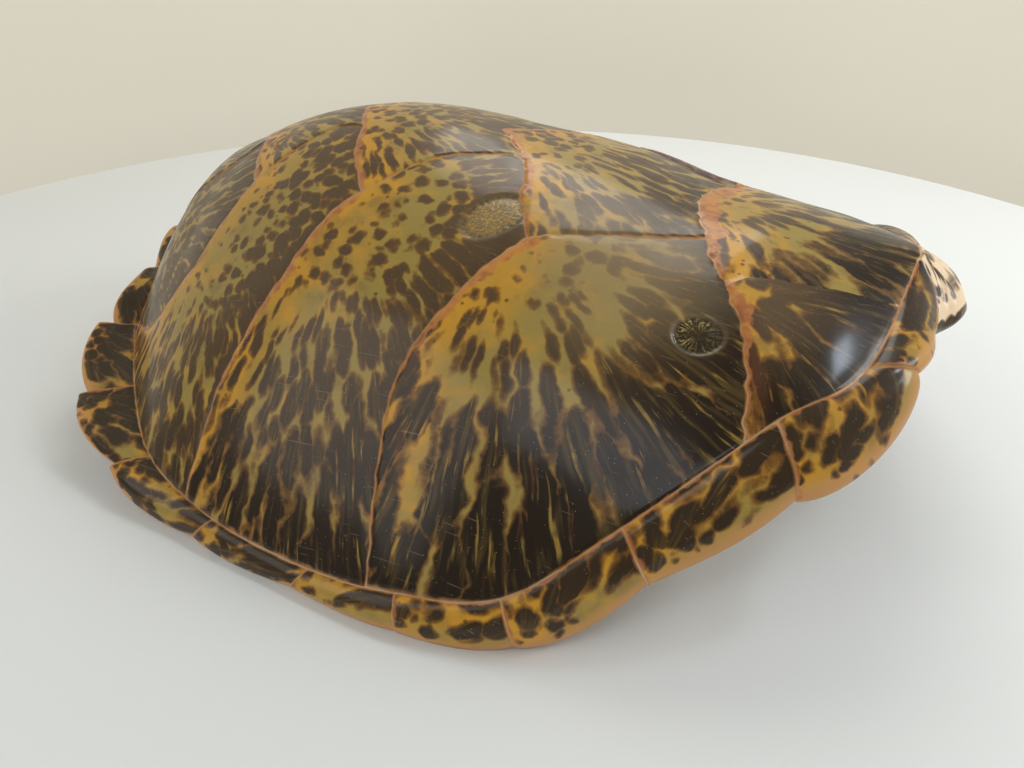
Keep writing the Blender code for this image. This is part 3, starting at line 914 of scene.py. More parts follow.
        # Painted shade: the near side of the nuchal's rolled edge is made near-black, for the shade under its lip.
        dark = np.where(nuchal & (share > 0.93) & (share < 1.5) & (side < 0) & (place > 0.35), 0.97, dark)
        from_seam = np.minimum(share, 1.0) * width
        late = np.minimum(np.where(nuchal, self.nuchal_length, ahead), from_seam * (1.6 + 2 * rear))
        none = np.zeros(len(share))
        return {
            "growth": np.column_stack((np.arctan2(inward, ahead) * 55, radius, number)),
            "lay": np.column_stack((seam_gap, late, dark)),
            "site": np.column_stack((share, none + OFF_SCAR, none)),
            "trend": np.column_stack((radius / 100.0, none + 1.4, none + 1.15)),
        }

    def scar_values(self, place: np.ndarray) -> np.ndarray:
        """Radius, as a share of the scar's, and angle of each place round the nearest scar."""
        away, angle = np.full(len(place), OFF_SCAR), np.zeros(len(place))
        for scar in SCARS:
            own, turn = scar.polar(place)
            nearer = own < away
            away = np.where(nearer, own, away)
            angle = np.where(nearer, turn + BLEACHED_TURN * scar.bleached, angle)
        return np.column_stack((away, angle))


Socket = bpy.types.NodeSocket
Value = Socket | float | tuple[float, ...]
Colour = tuple[float, float, float, float]


class NodeBench:
    """Adds nodes to a tree and wires them, for shaders and for geometry."""

    def __init__(self, tree: bpy.types.NodeTree) -> None:
        """Work on a tree."""
        self.tree = tree

    def add(self, kind: str, **settings: object) -> bpy.types.Node:
        """Add a node of a kind with its settings."""
        node = self.tree.nodes.new(kind)
        for name, value in settings.items():
            setattr(node, name, value)
        return node

    def put(self, socket: Socket, value: Value) -> None:
        """Give an input a value, or join it to an output."""
        if isinstance(value, bpy.types.NodeSocket):
            self.tree.links.new(value, socket)
        else:
            socket.default_value = value

    def fill(self, node: bpy.types.Node, values: dict[str, Value]) -> bpy.types.Node:
        """Put values into a node's named inputs."""
        for name, value in values.items():
            self.put(node.inputs[name], value)
        return node

    def math(self, operation: str, a: Value, b: Value = 0.0, clamp: bool = False) -> Socket:
        """One arithmetic step."""
        node = self.add("ShaderNodeMath", operation=operation, use_clamp=clamp)
        self.put(node.inputs[0], a)
        self.put(node.inputs[1], b)
        return node.outputs[0]

    def plus(self, a: Value, b: Value, clamp: bool = False) -> Socket:
        """A sum."""
        return self.math("ADD", a, b, clamp)

    def minus(self, a: Value, b: Value) -> Socket:
        """A difference."""
        return self.math("SUBTRACT", a, b)

    def times(self, a: Value, *more: Value) -> Socket:
        """A product."""
        for b in more:
            a = self.math("MULTIPLY", a, b)
        return a

    def most(self, a: Value, b: Value) -> Socket:
        """The greater of two values."""
        return self.math("MAXIMUM", a, b)

    def size(self, a: Value) -> Socket:
        """A value without its sign."""
        return self.math("ABSOLUTE", a)

    def vector(self, operation: str, a: Value, b: Value = (0.0, 0.0, 0.0), scale: Value = 1.0) -> Socket:
        """One vector step; a length is a single value."""
        node = self.add("ShaderNodeVectorMath", operation=operation)
        self.put(node.inputs[0], a)
        self.put(node.inputs[1], b)
        if operation == "SCALE":
            self.put(node.inputs["Scale"], scale)
        return node.outputs["Value" if operation == "LENGTH" else "Vector"]

    def join(self, x: Value, y: Value, z: Value) -> Socket:
        """A vector of three values."""
        node = self.add("ShaderNodeCombineXYZ")
        for socket, value in zip(node.inputs, (x, y, z)):
            self.put(socket, value)
        return node.outputs[0]

    def split(self, vector: Socket) -> tuple[Socket, Socket, Socket]:
        """The three values of a vector."""
        node = self.add("ShaderNodeSeparateXYZ")
        self.put(node.inputs[0], vector)
        return tuple(node.outputs)

    def clouds(self, vector: Value, scale: float, detail: float = 2.0, roughness: float = 0.5) -> bpy.types.Node:
        """A node of smooth noise."""
        node = self.add("ShaderNodeTexNoise", noise_dimensions="3D")
        return self.fill(node, {"Vector": vector, "Scale": scale, "Detail": detail, "Roughness": roughness})

    def noise(self, vector: Value, scale: float, detail: float = 2.0, roughness: float = 0.5) -> Socket:
        """Smooth noise from 0 to 1."""
        return self.clouds(vector, scale, detail, roughness).outputs[0]

    def wobble(self, vector: Value, scale: float, detail: float, reach: float) -> Socket:
        """Smooth noise of up to half of reach each way."""
        return self.times(self.minus(self.noise(vector, scale, detail), 0.5), reach)

    def sway(self, vector: Value, scale: float, reach: float) -> Socket:
        """A smooth random shift of up to half of reach each way."""
        middle = self.vector("SUBTRACT", self.clouds(vector, scale).outputs["Color"], (0.5, 0.5, 0.5))
        return self.vector("SCALE", middle, scale=reach)

    def spots(self, vector: Value, scale: float) -> Socket:
        """Distance from the nearest of scattered points, in cells."""
        node = self.add("ShaderNodeTexVoronoi", voronoi_dimensions="3D", feature="F1")
        return self.fill(node, {"Vector": vector, "Scale": scale}).outputs["Distance"]

    def step(self, value: Value, start: Value, end: Value, low: Value = 0.0, high: Value = 1.0) -> Socket:
        """Smooth step of a value from low at start to high at end."""
        node = self.add("ShaderNodeMapRange", interpolation_type="SMOOTHSTEP", clamp=True)
        for socket, own in zip(node.inputs, (value, start, end, low, high)):
            self.put(socket, own)
        return node.outputs[0]

    def mix(self, share: Value, a: Value, b: Value) -> Socket:
        """Mix two colours."""
        node = self.add("ShaderNodeMix", data_type="RGBA")
        for place, value in ((0, share), (6, a), (7, b)):
            self.put(node.inputs[place], value)
        return node.outputs[2]

    def blend(self, share: Value, a: Value, b: Value) -> Socket:
        """Mix two numbers."""
        node = self.add("ShaderNodeMix", data_type="FLOAT")
        for place, value in ((0, share), (2, a), (3, b)):
            self.put(node.inputs[place], value)
        return node.outputs[0]

    def bump(self, height: Socket, strength: float, depth: float) -> Socket:
        """A normal for a height, in metres of depth."""
        node = self.add("ShaderNodeBump")
        return self.fill(node, {"Strength": strength, "Distance": depth, "Height": height}).outputs[0]

    def place(self) -> Socket:
        """Place on the piece, in metres."""
        return self.add("ShaderNodeTexCoord").outputs["Object"]

    def shown(self, name: str) -> tuple[Socket, Socket, Socket]:
        """The values of a vector stored on the mesh, read by a shader."""
        node = self.add("ShaderNodeAttribute", attribute_name=name, attribute_type="GEOMETRY")
        return self.split(node.outputs["Vector"])

    def stored(self, name: str, kind: str) -> Socket:
        """An attribute of the mesh, read by geometry nodes."""
        node = self.add("GeometryNodeInputNamedAttribute", data_type=kind)
        return self.fill(node, {"Name": name}).outputs["Attribute"]


def new_material(name: str) -> tuple[bpy.types.Material, NodeBench, bpy.types.Node]:
    """A material, a bench for its nodes, and its shader."""
    material = bpy.data.materials.new(name)
    material.use_nodes = True
    return material, NodeBench(material.node_tree), material.node_tree.nodes["Principled BSDF"]


@dataclass(frozen=True)
class HornSockets:
    """What the horn's looks read: the mesh's attributes, places in millimetres, and two noises they share."""

    place: Socket
    spot: Socket
    broad: Socket
    uneven: Socket
    around: Socket
    radius: Socket
    number: Socket
    seam: Socket
    late: Socket
    dark: Socket
    rim: Socket
    scar: Socket
    angle: Socket
    drawn: Socket
    bare: Socket
    grain: Socket

    @classmethod
    def read(cls, bench: NodeBench) -> "HornSockets":
        """Add the nodes that read them; spot is shifted for each scute, so no pattern crosses a seam."""
        around, radius, number = bench.shown("growth")
        seam, late, dark = bench.shown("lay")
        rim, scar, angle = bench.shown("site")
        trend = bench.shown("trend")
        place = bench.vector("SCALE", bench.place(), scale=1 / MM)
        spot = bench.vector("ADD", place, bench.join(0.0, 0.0, bench.times(number, 97.0)))
        broad, uneven = bench.noise(spot, 0.022, 1.5), bench.noise(spot, 0.06)
        scar = bench.times(scar, 1.1)
        return cls(place, spot, broad, uneven, around, radius, number, seam, late, dark, rim, scar, angle, *trend)


@dataclass(frozen=True)
class HornFinish:
    """Polished tortoiseshell: olive amber and orange, with brown-black blotches drawn out into streaks.

    Each of streaks says between which shares of being drawn out it takes over, how much wider and how much
    shorter than round spots its cells lie, and what a scute's number shifts it by. Each of scratch_turns is a
    direction and a fineness. In the formulas, lengths are in millimetres and a noise's scale is per millimetre;
    a step's last two numbers are the shares that it runs between.
    """

    olive: Colour = (0.32, 0.232, 0.058, 1)
    amber: Colour = (0.56, 0.285, 0.030, 1)
    haze: Colour = (0.17, 0.12, 0.04, 1)
    rim: Colour = (0.54, 0.26, 0.085, 1)
    # partly the neck scute's own pale horn, partly painted light: made paler for the light its front face catches
    nuchal: Colour = (0.90, 0.70, 0.48, 1)
    edge: Colour = (0.50, 0.205, 0.055, 1)
    flush: Colour = (0.36, 0.125, 0.045, 1)
    fringe: Colour = (0.12, 0.038, 0.012, 1)
    rust: Colour = (0.10, 0.035, 0.014, 1)
    dark: Colour = (0.020, 0.012, 0.006, 1)
    brown: Colour = (0.098, 0.060, 0.029, 1)
    smoke: Colour = (0.12, 0.078, 0.022, 1)
    chalk: Colour = (0.46, 0.38, 0.24, 1)
    # painted shade: the dark line in the gap under the lifted scute edge
    lifted_edge_shade: Colour = (0.055, 0.012, 0.008, 1)
    # partly worn horn, partly painted sheen on the upper near flank
    wear_and_sheen: Colour = (0.30, 0.225, 0.125, 1)
    scar_floor: Colour = (0.026, 0.020, 0.010, 1)
    dull_fibre: Colour = (0.13, 0.10, 0.045, 1)
    gold_fibre: Colour = (0.50, 0.37, 0.11, 1)
    sand: Colour = (0.20, 0.155, 0.075, 1)
    gold_sand: Colour = (0.46, 0.27, 0.06, 1)
    scar_lip: Colour = (0.36, 0.29, 0.14, 1)
    wear_and_sheen_at: tuple[float, float, float] = (118.0, -98.0, 145.0)
    spot_size: float = 11.0
    most_dark: float = 0.965
    streaks: tuple[tuple[float, ...], ...] = ((0.24, 0.44, 0.80, 0.48, 31.0), (0.60, 0.86, 1.0, 0.27, 53.0))
    scratch_turns: tuple[tuple[float, float], ...] = ((0.4, 0.9), (1.5, 1.1), (2.4, 0.8))
    polish: float = 0.15
    smoothest: float = 0.32
    roughest: float = 0.50

    def build(self) -> bpy.types.Material:
        """Make the material."""
        material, bench, shader = new_material("polished_horn")
        at = HornSockets.read(bench)
        base = self.amber_horn(bench, at)
        marks = self.markings(bench, at)
        colour = bench.mix(bench.step(marks, -0.17, 0.0, 0.0, 0.75), base, self.fringe)
        colour = bench.mix(bench.step(marks, -0.05, 0.11), colour, self.dark_horn(bench, at, base))
        # A paler, greyer patch on the upper near flank: partly worn horn, partly painted sheen standing in for the
        # soft reflection there.
        wear_and_sheen_gap = bench.vector("LENGTH", bench.vector("SUBTRACT", at.place, self.wear_and_sheen_at))
        wear_and_sheen_gap = bench.plus(wear_and_sheen_gap, bench.times(at.broad, 40.0))
        colour = bench.mix(bench.step(wear_and_sheen_gap, 30.0, 95.0, 0.5, 0.0), colour, self.wear_and_sheen)
        colour = self.scars(bench, at, self.edges(bench, at, colour))
        scratch = self.scratches(bench, at)
        dust = bench.step(bench.spots(at.place, 0.32), 0.10, 0.05, 0.0, 0.5)
        colour = bench.mix(bench.most(bench.times(scratch, 0.22), dust), colour, self.chalk)
        brushed = bench.noise(bench.vector("MULTIPLY", at.place, (0.02, 0.7, 0.35)), 1.0)
        height = bench.minus(bench.noise(at.place, 0.03, 3.0), bench.times(scratch, 0.4))
        height = bench.plus(height, bench.times(brushed, 0.25))
        looks = {
            "Base Color": colour,
            "Roughness": bench.step(bench.noise(at.place, 0.05, 3.0), 0.3, 0.7, self.smoothest, self.roughest),
            "Specular IOR Level": 0.12,
            "Coat Weight": 0.36,
            "Coat Roughness": self.polish,
            "Coat IOR": 1.5,
            "Normal": bench.bump(height, 0.25, 0.0003),
        }
        bench.fill(shader, looks)
        return material

    def amber_horn(self, bench: NodeBench, at: HornSockets) -> Socket:
        """Colour of the clear horn: olive to amber, warm at the rim, pale cream over the neck (partly painted light on
        the neck scute's lit front face), with rusty specks.
        """
        orange = bench.step(bench.plus(at.late, bench.times(at.broad, -60.0)), -32.0, 10.0, 1.0, 0.0)
        orange = bench.plus(orange, bench.step(at.uneven, 0.48, 0.68, 0.0, 0.45), clamp=True)
        base = bench.mix(orange, self.olive, self.amber)
        base = bench.mix(bench.step(bench.noise(at.spot, 0.045, 3.0, 0.6), 0.5, 0.72, 0.0, 0.55), base, self.haze)
        base = bench.mix(bench.step(at.rim, 0.70, 0.98, 0.0, 0.85), base, self.rim)
        # The neck scute's pale cream is partly painted light on its lit front face.
        nuchal = bench.math("GREATER_THAN", bench.size(at.number), NUCHAL - 1.0)
        base = bench.mix(bench.times(nuchal, 0.95), base, self.nuchal)
        speck = bench.times(bench.step(bench.spots(at.spot, 0.13), 0.2, 0.12), bench.step(at.broad, 0.5, 0.6))
        return bench.mix(bench.times(speck, bench.step(at.rim, 0.5, 0.9, 0.75, 0.0)), base, self.fringe)

    def markings(self, bench: NodeBench, at: HornSockets) -> Socket:
        """Round blotches near the growth corner that draw out into streaks further away.

        Args:
            bench: Where the nodes go.
            at: What is read.

        Returns:
            A height above 0 where the horn is dark.
        """
        density = bench.plus(at.dark, bench.wobble(at.spot, 0.022, 2.0, 0.6))
        density = bench.math("MINIMUM", bench.most(density, 0.0), self.most_dark)
        reach = bench.times(bench.math("LOGARITHM", bench.minus(1.0, density), math.e), -3 / (4 * math.pi))
        reach = bench.math("POWER", reach, 1 / 3)
        per_mm = 1 / self.spot_size
        warped = bench.vector("ADD", at.spot, bench.sway(at.spot, 0.09, 9.0))
        gap = bench.spots(bench.vector("SCALE", warped, scale=at.grain), per_mm)
        swayed, sway_along, _ = bench.split(bench.sway(at.spot, 0.05, 20.0))
        across = bench.times(bench.plus(at.around, swayed), at.grain)
        along = bench.times(bench.plus(at.radius, sway_along), at.grain)
        far = bench.plus(at.drawn, bench.times(sway_along, 0.008))
        for start, end, wide, long, offset in self.streaks:
            row = bench.join(bench.times(across, wide), bench.times(along, long), bench.times(at.number, offset))
            gap = bench.blend(bench.step(far, start, end), gap, bench.spots(row, per_mm))
        return bench.minus(bench.plus(reach, bench.wobble(at.spot, 0.25, 3.0, 0.22)), gap)

    def dark_horn(self, bench: NodeBench, at: HornSockets, base: Socket) -> Socket:
        """Colour of the dark markings: brown to black, with hairs, amber slits, and rust where they are thin."""
        swayed = bench.plus(at.around, bench.times(at.broad, 9.0))
        along = bench.times(at.radius, 0.1)
        hair = bench.noise(bench.join(swayed, along, at.number), 0.24, 3.0)
        slit = bench.noise(bench.join(swayed, along, bench.plus(at.number, 7.0)), 0.27, 3.0, 0.6)
        slit = bench.times(bench.step(slit, 0.56, 0.70), bench.step(at.drawn, 0.35, 0.7, 0.0, 0.75))
        marginal = bench.math("GREATER_THAN", bench.size(at.number), FIRST_MARGINAL - 5.0)
        colour = bench.most(bench.step(at.drawn, 0.25, 0.95), bench.times(marginal, 0.75))
        colour = bench.mix(colour, self.brown, self.dark)
        colour = bench.mix(bench.step(hair, 0.50, 0.72, 0.0, 0.55), colour, self.smoke)
        colour = bench.mix(slit, colour, bench.mix(bench.step(at.uneven, 0.4, 0.6), self.rust, base))
        thin = bench.times(bench.step(at.late, 1.0, 14.0, 0.8, 0.0), bench.step(at.radius, 70.0, 110.0, 1.0, 0.0))
        return bench.mix(bench.times(thin, bench.minus(1.0, marginal)), colour, self.rust)

    def edges(self, bench: NodeBench, at: HornSockets, colour: Socket) -> Socket:
        """Lay over the colour what the scutes' edges show: bare orange horn, chalk, and painted shade in the gap under
        the lifted edge.
        """
        fine = bench.noise(at.spot, 0.16)
        width = bench.times(at.bare, bench.step(at.uneven, 0.34, 0.64, 0.6, 1.3))
        width = bench.plus(width, bench.times(bench.minus(fine, 0.5), 6.0))
        band = bench.step(bench.minus(at.late, width), -0.8, 0.9, 0.85, 0.0)
        colour = bench.mix(band, colour, bench.mix(bench.step(fine, 0.42, 0.66), self.edge, self.flush))
        line = bench.minus(at.seam, bench.times(bench.noise(at.spot, 0.12), 2.4))
        line = bench.times(bench.step(line, -1.0, 0.1, 0.75, 0.0), bench.step(at.broad, 0.4, 0.6, 0.3, 1.0))
        colour = bench.mix(line, colour, self.edge)
        hairline = bench.times(bench.step(at.seam, 0.15, 0.6, 1.0, 0.0), bench.step(at.uneven, 0.42, 0.58, 0.1, 0.75))
        colour = bench.mix(hairline, colour, self.chalk)
        x, y, _ = bench.split(at.place)
        # Painted shade along the left V2|C2 seam, where the lifted edge of C2 would shade the gap below it.
        beside = bench.math("LESS_THAN", bench.size(bench.plus(at.number, -4.5)), 2.6)
        lifted_edge_shade = bench.times(bench.step(at.seam, 1.6, 0.5, 0.0, 0.9), bench.step(y, 58.0, 62.0))
        return bench.mix(bench.times(lifted_edge_shade, bench.step(x, 66.0, 90.0), beside), colour, self.lifted_edge_shade)

    def scars(self, bench: NodeBench, at: HornSockets, colour: Socket) -> Socket:
        """Lay what a barnacle left over the horn: fibres round a dark middle, or grit where it is bleached."""
        rays = bench.noise(bench.join(bench.times(at.angle, 7.0), bench.times(at.scar, 1.2), 3.0), 1.0, 1.0)
        grit = bench.noise(at.spot, 0.7, 3.0, 0.6)
        fibres = bench.step(bench.plus(rays, bench.times(grit, 0.7)), 0.84, 1.02)
        fibres = bench.times(fibres, bench.step(at.scar, 0.22, 0.75, 0.25, 1.0))
        golden = bench.step(bench.math("COSINE", bench.minus(at.angle, 2.5)), -0.6, 0.8)
        fresh = bench.mix(fibres, self.scar_floor, bench.mix(golden, self.dull_fibre, self.gold_fibre))
        bleached = bench.math("GREATER_THAN", at.angle, BLEACHED_TURN / 2)
        ground = bench.mix(bleached, fresh, bench.mix(bench.step(grit, 0.46, 0.62), self.sand, self.gold_sand))
        frayed = bench.plus(bench.times(grit, 0.35), bench.times(rays, 0.5))
        inside = bench.step(bench.plus(at.scar, frayed), 1.22, 1.5, 0.9, 0.0)
        lip = bench.times(bench.step(at.scar, 0.95, 1.08), bench.step(at.scar, 1.1, 1.3, 0.14, 0.0))
        return bench.mix(lip, bench.mix(inside, colour, ground), self.scar_lip)

    def scratches(self, bench: NodeBench, at: HornSockets) -> Socket:
        """Fine hair scratches in a few directions."""
        total: Value = 0.0
        for turn, scale in self.scratch_turns:
            turned = bench.add("ShaderNodeMapping")
            bench.fill(turned, {"Vector": at.place, "Rotation": (0.2, 0.1, turn), "Scale": (0.018, 1.6 * scale, 0.3)})
            total = bench.most(total, bench.step(bench.noise(turned.outputs[0], 1.0, 1.0), 0.75, 0.79))
        return total


@dataclass(frozen=True)
class BoneFinish:
    """Dry shell bone: buff, paler on the ribs and backbone, darker brown in the hollows between the ribs. Millimetres.
    """

    pale: Colour = (0.60, 0.49, 0.33, 1)
    buff: Colour = (0.44, 0.33, 0.19, 1)
    stain: Colour = (0.25, 0.155, 0.075, 1)
    suture: Colour = (0.10, 0.060, 0.030, 1)
    roughness: float = 0.72
    rib_gap: float = 52.0
    rib_slant: float = 0.25

    def build(self) -> bpy.types.Material:
        """Make the material."""
        material, bench, shader = new_material("shell_bone")
        place = bench.vector("SCALE", bench.place(), scale=1 / MM)
        x, y, _ = bench.split(place)
        side = bench.size(y)
        turn = bench.plus(bench.plus(x, bench.wobble(place, 0.03, 3.0, 9.0)), bench.times(side, self.rib_slant))
        swell = bench.math("COSINE", bench.times(turn, 2 * math.pi / self.rib_gap))
        pores = bench.step(bench.noise(bench.vector("MULTIPLY", place, (1.0, 0.35, 1.0)), 0.9), 0.60, 0.70)
        ridge = bench.most(bench.step(swell, 0.1, 0.8), bench.step(side, 10.0, 20.0, 1.0, 0.0))
        colour = bench.mix(bench.times(ridge, 0.75), self.buff, self.pale)
        suture = bench.times(bench.step(swell, -0.992, -0.955, 1.0, 0.0), bench.step(side, 16.0, 26.0))
        stained = bench.step(bench.noise(place, 0.018, 5.0, 0.6), 0.46, 0.72, 0.0, 0.6)
        # Darker brown along the hollows between the ribs, on the same waves as the rib relief.
        hollow = bench.times(bench.step(swell, 0.2, -0.9), 0.3)
        for share, over in (
            (bench.most(stained, hollow), self.stain),
            (bench.times(suture, 0.75), self.suture),
            (bench.times(pores, 0.45), self.stain),
        ):
            colour = bench.mix(share, colour, over)
        height = bench.minus(bench.noise(place, 0.5, 3.0, 0.6), bench.most(pores, suture))
        normal = bench.bump(height, 0.5, 0.0006)
        bench.fill(shader, {"Base Color": colour, "Roughness": self.roughness, "Normal": normal})
        return material


@dataclass
class ReliefTree:
    """Geometry nodes that work relief into the shell: hand-polished unevenness, scars' rays, ribs and backbone.

    They measure in metres, as the finished mesh does.
    """

    horn: bpy.types.Material
    bone: bpy.types.Material
    wave_height: float = 0.00035
    ray_height: float = 0.0009
    rib_height: float = 0.0034
    rib_gap: float = BoneFinish.rib_gap * MM
    rib_slant: float = BoneFinish.rib_slant
    seed: float = 4.0
    rays: float = 24.0
    ray_share: float = 0.22
    ring_share: float = 0.4
    floor_share: float = 0.8  # of the rays' height, how far a scar's floor is sunk
    rest_height: float = 0.0015  # what is lower stays flat on the table

    def build(self) -> bpy.types.NodeTree:
        """Make the tree with its named inputs.

        Returns:
            The tree.
        """
        tree = bpy.data.node_groups.new("shell_relief", "GeometryNodeTree")
        tree.interface.new_socket("Geometry", in_out="INPUT", socket_type="NodeSocketGeometry")
        for name, value in self.sizes().items():
            socket = tree.interface.new_socket(name, in_out="INPUT", socket_type="NodeSocketFloat")
            socket.default_value = value
        tree.interface.new_socket("Geometry", in_out="OUTPUT", socket_type="NodeSocketGeometry")
        bench = NodeBench(tree)
        given = bench.add("NodeGroupInput").outputs
        normal = bench.add("GeometryNodeInputNormal").outputs[0]
        x, y, z = bench.split(bench.add("GeometryNodeInputPosition").outputs[0])
        rim, scar, angle = bench.split(bench.stored("site", "FLOAT_VECTOR"))
        bone = bench.math("GREATER_THAN", rim, 1.6)
        height = bench.blend(bone, self.outside(bench, given, (x, y, z), scar, angle), self.inside(bench, given, x, y))
        moved = {
            "Geometry": given["Geometry"],
            "Selection": bench.math("GREATER_THAN", z, self.rest_height),
            "Offset": bench.vector("SCALE", normal, scale=height),
        }
        shape = bench.fill(bench.add("GeometryNodeSetPosition"), moved).outputs[0]
        shape = bench.fill(bench.add("GeometryNodeRealizeInstances"), {"Geometry": shape}).outputs[0]
        for material, where in ((self.horn, True), (self.bone, bench.stored("bone", "BOOLEAN"))):
            faced = {"Geometry": shape, "Selection": where, "Material": material}
            shape = bench.fill(bench.add("GeometryNodeSetMaterial"), faced).outputs[0]
        bench.fill(bench.add("NodeGroupOutput"), {"Geometry": shape})
        return tree

    def outside(
        self,
        bench: NodeBench,
        given: bpy.types.NodeOutputs,
        place: tuple[Socket, Socket, Socket],
        scar: Socket,
        angle: Socket,
    ) -> Socket:
        """How far the horn is raised: soft waves, and scars sunk with rays in them.

        Args:
            bench: Where the nodes go.
            given: The tree's inputs.
            place: The place's three values.
            scar: Radius as a share of the scar's.
            angle: Angle round the scar.

        Returns:
            The height, in metres.
        """
        seeded = bench.join(place[0], place[1], bench.plus(place[2], given["Seed"]))
        wave = bench.times(bench.minus(bench.noise(seeded, 16.0, 1.0), 0.5), bench.times(given["Wave Height"], 2.0))
        ring = bench.times(bench.step(scar, 0.55, 0.8), bench.step(scar, 0.95, 1.12, 1.0, 0.0))
        floor = bench.step(scar, 0.85, 1.05, 1.0, 0.0)
        comb = bench.times(bench.math("SINE", bench.times(angle, self.rays)), self.ray_share)
        rays = bench.times(comb, bench.times(floor, bench.step(scar, 0.15, 0.4)))
        sunk = bench.plus(bench.times(ring, -self.ring_share), bench.minus(rays, bench.times(floor, self.floor_share)))
        return bench.plus(wave, bench.times(sunk, given["Ray Height"]))

    def inside(self, bench: NodeBench, given: bpy.types.NodeOutputs, x: Socket, y: Socket) -> Socket:
        """How far the bone is raised: ribs to both sides, and the backbone's knuckles.

        Args:
            bench: Where the nodes go.
            given: The tree's inputs.
            x: Place towards the neck.
            y: Place towards the left.

        Returns:
            The height, in metres.
        """
        side = bench.size(y)
        phase = bench.math("DIVIDE", bench.plus(x, bench.times(side, self.rib_slant)), given["Rib Gap"])
        swell = bench.math("COSINE", bench.times(phase, 2 * math.pi))
        ends = bench.times(bench.step(bench.size(x), 0.19, 0.235, 1.0, 0.0), given["Rib Height"])
        reach = bench.times(bench.step(side, 0.012, 0.03), bench.step(side, 0.13, 0.235, 1.0, 0.3))
        ribs = bench.times(bench.times(bench.step(swell, 0.1, 0.95), reach), ends)
        knuckle = bench.times(bench.step(side, 0.008, 0.022, 1.0, 0.0), ends)
        return bench.plus(ribs, bench.times(knuckle, bench.step(swell, -0.6, 0.8, -0.7, 1.0)))

    def sizes(self) -> dict[str, float]:
        """The tree's named inputs and their values, in metres."""
        return {
            "Wave Height": self.wave_height,
            "Ray Height": self.ray_height,
            "Rib Height": self.rib_height,
            "Rib Gap": self.rib_gap,
            "Seed": self.seed,
        }


@dataclass
class Shell:
    """The one piece of the object: the turtle's upper shell."""

    name: str = "turtle_shell"

    def build(self) -> bpy.types.Object:
        """Make the shell, work its relief and lay it over the CAD part.

        Returns:
            The finished piece.
        """
        raw = bpy.data.objects.new(self.name, ShellMesh(ShellForm()).build())
        bpy.context.scene.collection.objects.link(raw)
        horn, bone = HornFinish().build(), BoneFinish().build()
        raw.data.materials.append(horn)
        raw.data.materials.append(bone)
        relief = ReliefTree(horn, bone)
        modifier = raw.modifiers.new("relief", "NODES")
        modifier.node_group = relief.build()
        inputs = {item.name: item.identifier for item in modifier.node_group.interface.items_tree}
        for name, value in relief.sizes().items():
            modifier[inputs[name]] = value
        graph = bpy.context.evaluated_depsgraph_get()
        shaped = raw.evaluated_get(graph)
        worked = bpy.data.meshes.new_from_object(shaped, preserve_all_data_layers=True, depsgraph=graph)
        raw.modifiers.clear()
        raw.data = worked
        worked.name = self.name
        LOG.info("shell: %d faces, materials %s", len(worked.polygons), [m.name for m in worked.materials])
        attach(raw, "root")
        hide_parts("carapace")
        return raw


@dataclass(frozen=True)
class Lamp:
    """A square lamp: place, aim and size in metres, power in watts, and whether polished horn mirrors it."""

    name: str
    place: tuple[float, float, float]
    aim: tuple[float, float, float]
    size: float
    watts: float
    colour: tuple[float, float, float]
    mirrored: bool = True

    def hang(self) -> None:
        """Hang it in the scene, unseen by the camera."""
        light = bpy.data.lights.new(self.name, "AREA")
        light.shape = "SQUARE"
        light.size = self.size
        light.energy = self.watts
        light.color = self.colour
        lamp = bpy.data.objects.new(self.name, light)
        lamp.location = self.place
        lamp.rotation_euler = (Vector(self.aim) - Vector(self.place)).to_track_quat("-Z", "Y").to_euler()
        lamp.visible_camera = False
        lamp.visible_glossy = self.mirrored
        bpy.context.scene.collection.objects.link(lamp)


LAMPS = (
    Lamp("roof", (-0.1, 0.85, 1.15), (0, 0.0, 0.1), 0.8, 6.5, (1.0, 0.97, 0.92)),
    Lamp("side", (1.15, 0.35, 0.8), (0.3, 0, 0.05), 0.5, 7.0, (1.0, 0.98, 0.95)),
    Lamp("left", (-0.85, -1.25, 1.0), (-0.05, -0.1, 0.08), 1.2, 8.0, (1.0, 0.97, 0.92)),
    Lamp("window", (0.79, 0.46, 1.17), (0.24, -0.1, 0.12), 0.18, 2.2, (0.75, 0.87, 1.0)),
    Lamp("doorway", (0.47, -2.0, 0.15), (0.12, -0.23, 0.03), 0.5, 7.0, (0.95, 0.97, 1.0), mirrored=False),
    Lamp("ceiling", (0.2, -1.05, 1.35), (0.11, -0.18, 0.09), 0.6, 3.0, (0.88, 0.94, 1.0)),
)


